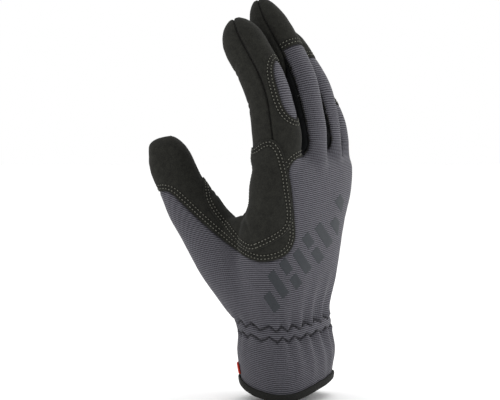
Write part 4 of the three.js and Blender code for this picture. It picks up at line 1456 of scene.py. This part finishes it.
class GLOVE_OT_fabric(bpy.types.Operator):
    """Make the ribbed fabric: the back with the fingers' backs, the cuff and the index finger's leaf."""

    bl_idname = "glove.fabric"
    bl_label = "Ribbed fabric"

    def execute(self, context):
        made = materials()
        faces = [made["fabric"], made["lining"]]
        backs = ["hand_back", "middle_back", "ring_back", "little_back", "thumb_back"]
        panel("back_fabric", BACK, 0.0, backs, faces)
        panel("cuff_fabric", CUFF, 0.0, ["cuff"], faces)
        panel("index_leaf_fabric", LEAF, 0.0, ["index_back_inset"], faces)
        return {"FINISHED"}


class GLOVE_OT_strips(bpy.types.Operator):
    """Make the black knit strips between the fingers."""

    bl_idname = "glove.strips"
    bl_label = "Strips between the fingers"

    def execute(self, context):
        made = materials()
        for name in STRIPS:
            panel(f"{name}_knit", name, STRIP_OUT, [name], [made["strip"], made["lining"]])
        return {"FINISHED"}


class GLOVE_OT_patch(bpy.types.Operator):
    """Make the suede reinforcement sewn over the thumb crotch."""

    bl_idname = "glove.patch"
    bl_label = "Thumb crotch patch"

    LIFT = 0.4  # from the skin's face to the patch's inner face
    PALM_END = 33  # how far towards the camera the end on the palm begins
    WRAP = 43  # how much farther the patch goes round where it lies over the crotch and the thumb
    BELOW, BESIDE = (124, 112), (-23, -28)  # the heights and places across over which it starts to

    def execute(self, context):
        size = skin().form.size
        outline = flat_outline(PATCH_OUTLINE, size)

        def field(points):
            u, z, w = side_view(points)
            round_side = np.maximum(smoothstep(*self.BELOW, z), smoothstep(*self.BESIDE, u))
            end = w - self.PALM_END + self.WRAP * round_side
            return np.minimum(outline_distance(np.stack([u, z], 1), outline), end)

        under = skin().copy(PALM, THUMB_INDEX)
        bm = overlay(under, field, self.LIFT + size["patch"], size["patch"], finer=False)
        BUILT["faces"]["patch"] = (BVHTree.FromBMesh(bm), bm.copy())
        made = materials()
        finish_piece("crotch_patch_suede", bm, ["crotch_patch"], [made["suede"]], size["patch"])
        return {"FINISHED"}


class GLOVE_OT_stitches(bpy.types.Operator):
    """Sew the double rows on suede, patch, leaf and fingertips, and the rows over the elastic."""

    bl_idname = "glove.stitches"
    bl_label = "Stitches"

    ROWS = (1.7, 3.9)  # how far the two rows lie from a seam
    ELASTIC_STITCH = (2.4, 1.9, 0.6)  # pitch, length and width

    def execute(self, context):
        cut, faces = skin(), BUILT["faces"]
        suede_face = faces["thumb_index_suede"][0]
        patch_face, patch = faces["patch"]
        tips = [f"{label}_suede" for label in TIPS.values()]
        tip_lines = [cut.seam([label], [BACK])[0] for label in TIPS.values()]
        groups = {
            "border_stitches": [(cut.seam([THUMB_INDEX], [BACK])[0], suede_face)],
            "patch_stitches": [(border_line(patch), patch_face)],
            "leaf_stitches": [(cut.seam([THUMB_INDEX], [LEAF])[0], suede_face)],
            "tip_stitches": [(line, faces[tip][0]) for line, tip in zip(tip_lines, tips)],
        }
        for name, seams in groups.items():
            bm = bmesh.new()
            for line, face in seams:
                for distance in self.ROWS:
                    stitch_along(bm, row_beside(line, face, distance), face, cut.form.size["stitch_pitch"])
            finish_piece(name, bm, [], [materials()["thread"]])
        press_rows("thumb_index_suede", "crotch_patch_suede", *tips)
        self.sew_elastic(cut.form)
        return {"FINISHED"}

    def sew_elastic(self, form):
        """Dark stitches in the two creases over the elastic."""
        face = BVHTree.FromBMesh(self.joined(["back_fabric", "cuff_fabric", "palm_suede"]))
        bm = bmesh.new()
        sides = 400
        turns = np.linspace(0, 2 * math.pi, sides + 1)
        for row in (0, 1):
            ring = form.hand.ring(ELASTIC["height"][row], sides)
            ring = np.vstack([ring, ring[:1]])
            ring[:, 2] = form.elastic_line(row, turns)
            stitch_along(bm, dropped(ring, face), face, *self.ELASTIC_STITCH)
        finish_piece("elastic_stitches", bm, [], [materials()["dark_thread"]])

    def joined(self, names):
        """The faces of some panels in one bmesh."""
        bm = bmesh.new()
        for name in names:
            mesh = bpy.data.meshes.new("work")
            BUILT["faces"][name][1].to_mesh(mesh)
            bm.from_mesh(mesh)
            bpy.data.meshes.remove(mesh)
        return bm


class GLOVE_OT_hem(bpy.types.Operator):
    """Fold the tape round the hem and sew it on."""

    bl_idname = "glove.hem"
    bl_label = "Hem binding"

    # The tape's section: how far from the cloth's face, and how high as a share of the binding's height.
    SECTION = table(
        "out up",
        (1.0, 0.06), (1.35, 0.2), (1.45, 0.5), (1.38, 0.8), (1.15, 0.96), (0.75, 1.0),
        (0.25, 0.94), (0.2, 0.25), (-1.3, 0.25), (-1.35, 0.94), (-1.75, 1.0), (-2.2, 0.92),
        (-2.4, 0.5), (-2.25, 0.18), (-1.6, 0.03), (-0.5, 0.0), (0.4, 0.0),
    )
    SIDES = 160
    UNEVEN, UNEVEN_WIDTH = 0.07, 2.5
    STITCH_PLACE, STITCH_OUT = 0.72, 1.6  # share of the tape's height, and how far out the row starts
    HEM_STITCH = (2.6, 1.8, 0.5)  # pitch, length and width

    def execute(self, context):
        form = skin().form
        low, high = HAND["height"][0], form.size["binding_height"] / form.size["height"]
        outs = []
        for out in self.SECTION["out"]:
            outs.append(np.stack([form.hand.ring(share, self.SIDES, out) for share in (low, high)]))
        bm = bmesh.new()
        first = before = None
        for i in range(self.SIDES):
            made = bmesh.ops.create_circle(bm, segments=len(outs), radius=1)
            for vert, ends, up in zip(made["verts"], outs, self.SECTION["up"]):
                vert.co = ends[0, i] * (1 - up) + ends[1, i] * up
            edges = list({e for v in made["verts"] for e in v.link_edges})
            if before:
                bmesh.ops.bridge_loops(bm, edges=before + edges)
            first = first or edges
            before = edges
        bmesh.ops.bridge_loops(bm, edges=before + first)
        bmesh.ops.recalc_face_normals(bm, faces=bm.faces)
        bmesh.ops.subdivide_edges(bm, edges=bm.edges, cuts=1, use_grid_fill=True, smooth=0.6)
        for vert in bm.verts:
            vert.co += vert.normal * self.UNEVEN * noise.noise(vert.co / self.UNEVEN_WIDTH)
        face = BVHTree.FromBMesh(bm)
        finish_piece("hem_tape", bm, ["hem_binding"], [materials()["binding"]])
        sewn = bmesh.new()
        ring = form.hand.ring(high * self.STITCH_PLACE, self.SIDES, self.STITCH_OUT)
        stitch_along(sewn, dropped(np.vstack([ring, ring[:1]]), face), face, *self.HEM_STITCH)
        finish_piece("hem_stitches", sewn, [], [materials()["dark_thread"]])
        return {"FINISHED"}


class GLOVE_OT_tab(bpy.types.Operator):
    """Make the small red tab on the palm side of the cuff."""

    bl_idname = "glove.tab"
    bl_label = "Red tab"

    HALF_WIDE, TRIM, CORNER = 6.2, 0.2, 1.2  # trim is how much lower it is than its CAD node, on each side
    LIFT, WALL, THICK = 1.25, 0.9, 1.1
    LEFT_SIDE = -15  # it lies on what is left of this in the side view

    def execute(self, context):
        low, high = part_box("red_tab")
        middle = (low + high) / 2 / MM
        half_high = (high.z - low.z) / 2 / MM - self.TRIM
        _, _, centre = side_view(np.array([middle[:]]))

        def field(points):
            u, z, w = side_view(points)
            x = np.abs(w - centre) - self.HALF_WIDE + self.CORNER
            y = np.abs(z - middle.z) - half_high + self.CORNER
            past = np.hypot(np.maximum(x, 0), np.maximum(y, 0))
            rounded = self.CORNER - past - np.minimum(np.maximum(x, y), 0)
            return np.minimum(rounded, self.LEFT_SIDE - u)

        bm = overlay(BUILT["faces"]["cuff_fabric"][1], field, self.LIFT, self.WALL)
        finish_piece("woven_tab", bm, ["red_tab"], [materials()["tab"]], self.THICK)
        return {"FINISHED"}


class GLOVE_OT_motif(bpy.types.Operator):
    """Print a band of slanted bars on the back of the hand."""

    bl_idname = "glove.motif"
    bl_label = "Printed bars"

    # Places of the bars along the band from its lower end, and their lengths, as shares of the band's.
    BARS = table(
        "along low high",
        (0.02, 0.0, 0.62), (0.14, 0.12, 1.0), (0.27, 0.0, 0.4), (0.27, 0.55, 1.0),
        (0.4, 0.1, 0.88), (0.53, 0.0, 0.45), (0.53, 0.6, 1.0), (0.66, 0.12, 0.9),
        (0.79, 0.0, 0.62), (0.92, 0.2, 1.0),
    )
    START, END = np.array((-14.0, 62.0)), np.array((39.0, 118.0))  # the band's middle line in the side view
    WIDTH = 19.0  # of the band
    BAR = 5.6
    SLANT = 4.5  # how far a bar's far end leans along the band
    FILM = 0.1
    NEAR = 2  # how far to the camera's side the print begins

    def bars(self):
        """The corners of each bar in the side view."""
        ahead = (self.END - self.START) / np.linalg.norm(self.END - self.START)
        across = np.array((-ahead[1], ahead[0]))
        for share, low, high in zip(*self.BARS.values()):
            foot = self.START + (self.END - self.START) * share
            corners = []
            for side, at in ((-1, low), (1, low), (1, high), (-1, high)):
                along = foot + ahead * (side * self.BAR / 2 + self.SLANT * at)
                corners.append(along + across * self.WIDTH * (at - 0.5))
            yield np.array(corners)

    def execute(self, context):
        shapes = list(self.bars())

        def field(points):
            u, z, w = side_view(points)
            flat = np.stack([u, z], 1)
            inside = np.max([outline_distance(flat, shape) for shape in shapes], 0)
            return np.minimum(inside, w - self.NEAR)

        bm = overlay(BUILT["faces"]["back_fabric"][1], field, self.FILM, self.FILM)
        finish_piece("printed_bars", bm, [], [materials()["motif"]], 0.9 * self.FILM)
        return {"FINISHED"}


class GLOVE_OT_stage(bpy.types.Operator):
    """Set the floor, the soft lights and the camera."""

    bl_idname = "glove.stage"
    bl_label = "Stage"

    AIM = Vector((-12.6, 18.7, 121.5)) * MM
    DISTANCE = 1.15  # metres
    RISE = math.radians(2)
    LENS, SENSOR = 134.0, 36
    CLIP = (0.05, 60)
    FLOOR_RADIUS, FLOOR_DROP = 9, 0.5 * MM  # metres
    # Each light's place from the aim, in metres: to the camera's right, towards the camera and up; then its
    # power in watts and its width.
    LIGHTS = {
        "key": (1.3, -0.1, 0.5, 4.5, 0.9),
        "fill": (-1.3, 0.1, 0.3, 1.6, 0.9),
        "rim": (0.3, -0.9, 1.0, 3, 0.7),
    }

    def execute(self, context):
        level = math.cos(self.RISE)
        back = Vector((math.sin(VIEW_TURN) * level, -math.cos(VIEW_TURN) * level, math.sin(self.RISE)))
        self.lay_floor(context)
        self.hang_tent(context, back)
        self.set_camera(context, back)
        right = Vector((math.cos(VIEW_TURN), math.sin(VIEW_TURN), 0))
        for name, (sideways, backwards, up, watts, wide) in self.LIGHTS.items():
            place = right * sideways + back * backwards + Vector((0, 0, up))
            lamp = bpy.data.lights.new(name, "AREA")
            lamp.energy = watts
            lamp.size = wide
            light = link(name, lamp)
            light.location = self.AIM + place
            light.rotation_euler = (-place).to_track_quat("-Z", "Y").to_euler()
        return {"FINISHED"}

    def lay_floor(self, context):
        """The floor, just under the glove."""
        bm = bmesh.new()
        bmesh.ops.create_circle(bm, segments=96, radius=self.FLOOR_RADIUS, cap_ends=True)
        mesh = bpy.data.meshes.new("floor")
        bm.to_mesh(mesh)
        bm.free()
        mesh.transform(Matrix.Translation((0, 0, -self.FLOOR_DROP)))
        mesh.materials.append(painted_floor(context.scene.glove_colours))
        link("floor", mesh)

    def hang_tent(self, context, back):
        """A white tent, darker on the camera's side and brighter overhead, whose walls always look white."""
        world = bpy.data.worlds.new("studio")
        world.use_nodes = True
        tree = world.node_tree
        tree.nodes["Background"].inputs["Color"].default_value = (1, 1, 1, 1)
        way = node(tree, "ShaderNodeTexCoord").outputs["Generated"]
        toward = node(tree, "ShaderNodeVectorMath", {0: way, 1: back}, operation="DOT_PRODUCT")
        fading = {"Value": toward.outputs["Value"], "From Max": 0.7, "To Min": 1.0, "To Max": 0.16}
        wall = node(tree, "ShaderNodeMapRange", fading).outputs[0]
        height = node(tree, "ShaderNodeSeparateXYZ", {0: way}).outputs["Z"]
        roof = node(tree, "ShaderNodeMapRange", {"Value": height, "From Min": 0.2, "To Max": 0.6}).outputs[0]
        both = node(tree, "ShaderNodeMath", {0: wall, 1: roof}, operation="ADD").outputs[0]
        seen = node(tree, "ShaderNodeLightPath").outputs["Is Camera Ray"]
        white = node(tree, "ShaderNodeMath", {0: both, 1: seen}, operation="MAXIMUM")
        tree.links.new(white.outputs[0], tree.nodes["Background"].inputs["Strength"])
        context.scene.world = world
        context.scene.view_settings.view_transform = "Standard"

    def set_camera(self, context, back):
        """The camera at the photograph's angle."""
        camera = bpy.data.cameras.new("camera")
        camera.lens = self.LENS
        camera.sensor_width = self.SENSOR
        camera.clip_start, camera.clip_end = self.CLIP
        thing = link("camera", camera)
        thing.location = self.AIM + back * self.DISTANCE
        thing.rotation_euler = (-back).to_track_quat("-Z", "Y").to_euler()
        context.scene.camera = thing


class GLOVE_PT_panel(bpy.types.Panel):
    """The glove's pieces, sizes and colours in the sidebar."""

    bl_idname = "GLOVE_PT_panel"
    bl_label = "Glove"
    bl_space_type = "VIEW_3D"
    bl_region_type = "UI"
    bl_category = "Glove"

    def draw(self, context):
        layout = self.layout
        for operator in OPERATORS:
            layout.operator(operator.bl_idname)
        for group in (context.scene.glove_sizes, context.scene.glove_colours):
            column = layout.column()
            for name in group.__annotations__:
                column.prop(group, name)


OPERATORS = [
    GLOVE_OT_stage,
    GLOVE_OT_suede,
    GLOVE_OT_fabric,
    GLOVE_OT_strips,
    GLOVE_OT_patch,
    GLOVE_OT_stitches,
    GLOVE_OT_hem,
    GLOVE_OT_tab,
    GLOVE_OT_motif,
]
CLASSES = [GloveSizes, GloveColours, *OPERATORS, GLOVE_PT_panel]


def register():
    """Makes the classes and their properties known to Blender."""
    for cls in CLASSES:
        bpy.utils.register_class(cls)
    bpy.types.Scene.glove_sizes = bpy.props.PointerProperty(type=GloveSizes)
    bpy.types.Scene.glove_colours = bpy.props.PointerProperty(type=GloveColours)


def unregister():
    """Takes them away again."""
    del bpy.types.Scene.glove_colours
    del bpy.types.Scene.glove_sizes
    for cls in reversed(CLASSES):
        bpy.utils.unregister_class(cls)


def main():
    """Makes the whole glove and its stage."""
    register()
    for operator in OPERATORS:
        group, name = operator.bl_idname.split(".")
        getattr(getattr(bpy.ops, group), name)()
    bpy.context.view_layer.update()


if __name__ == "__main__":
    main()
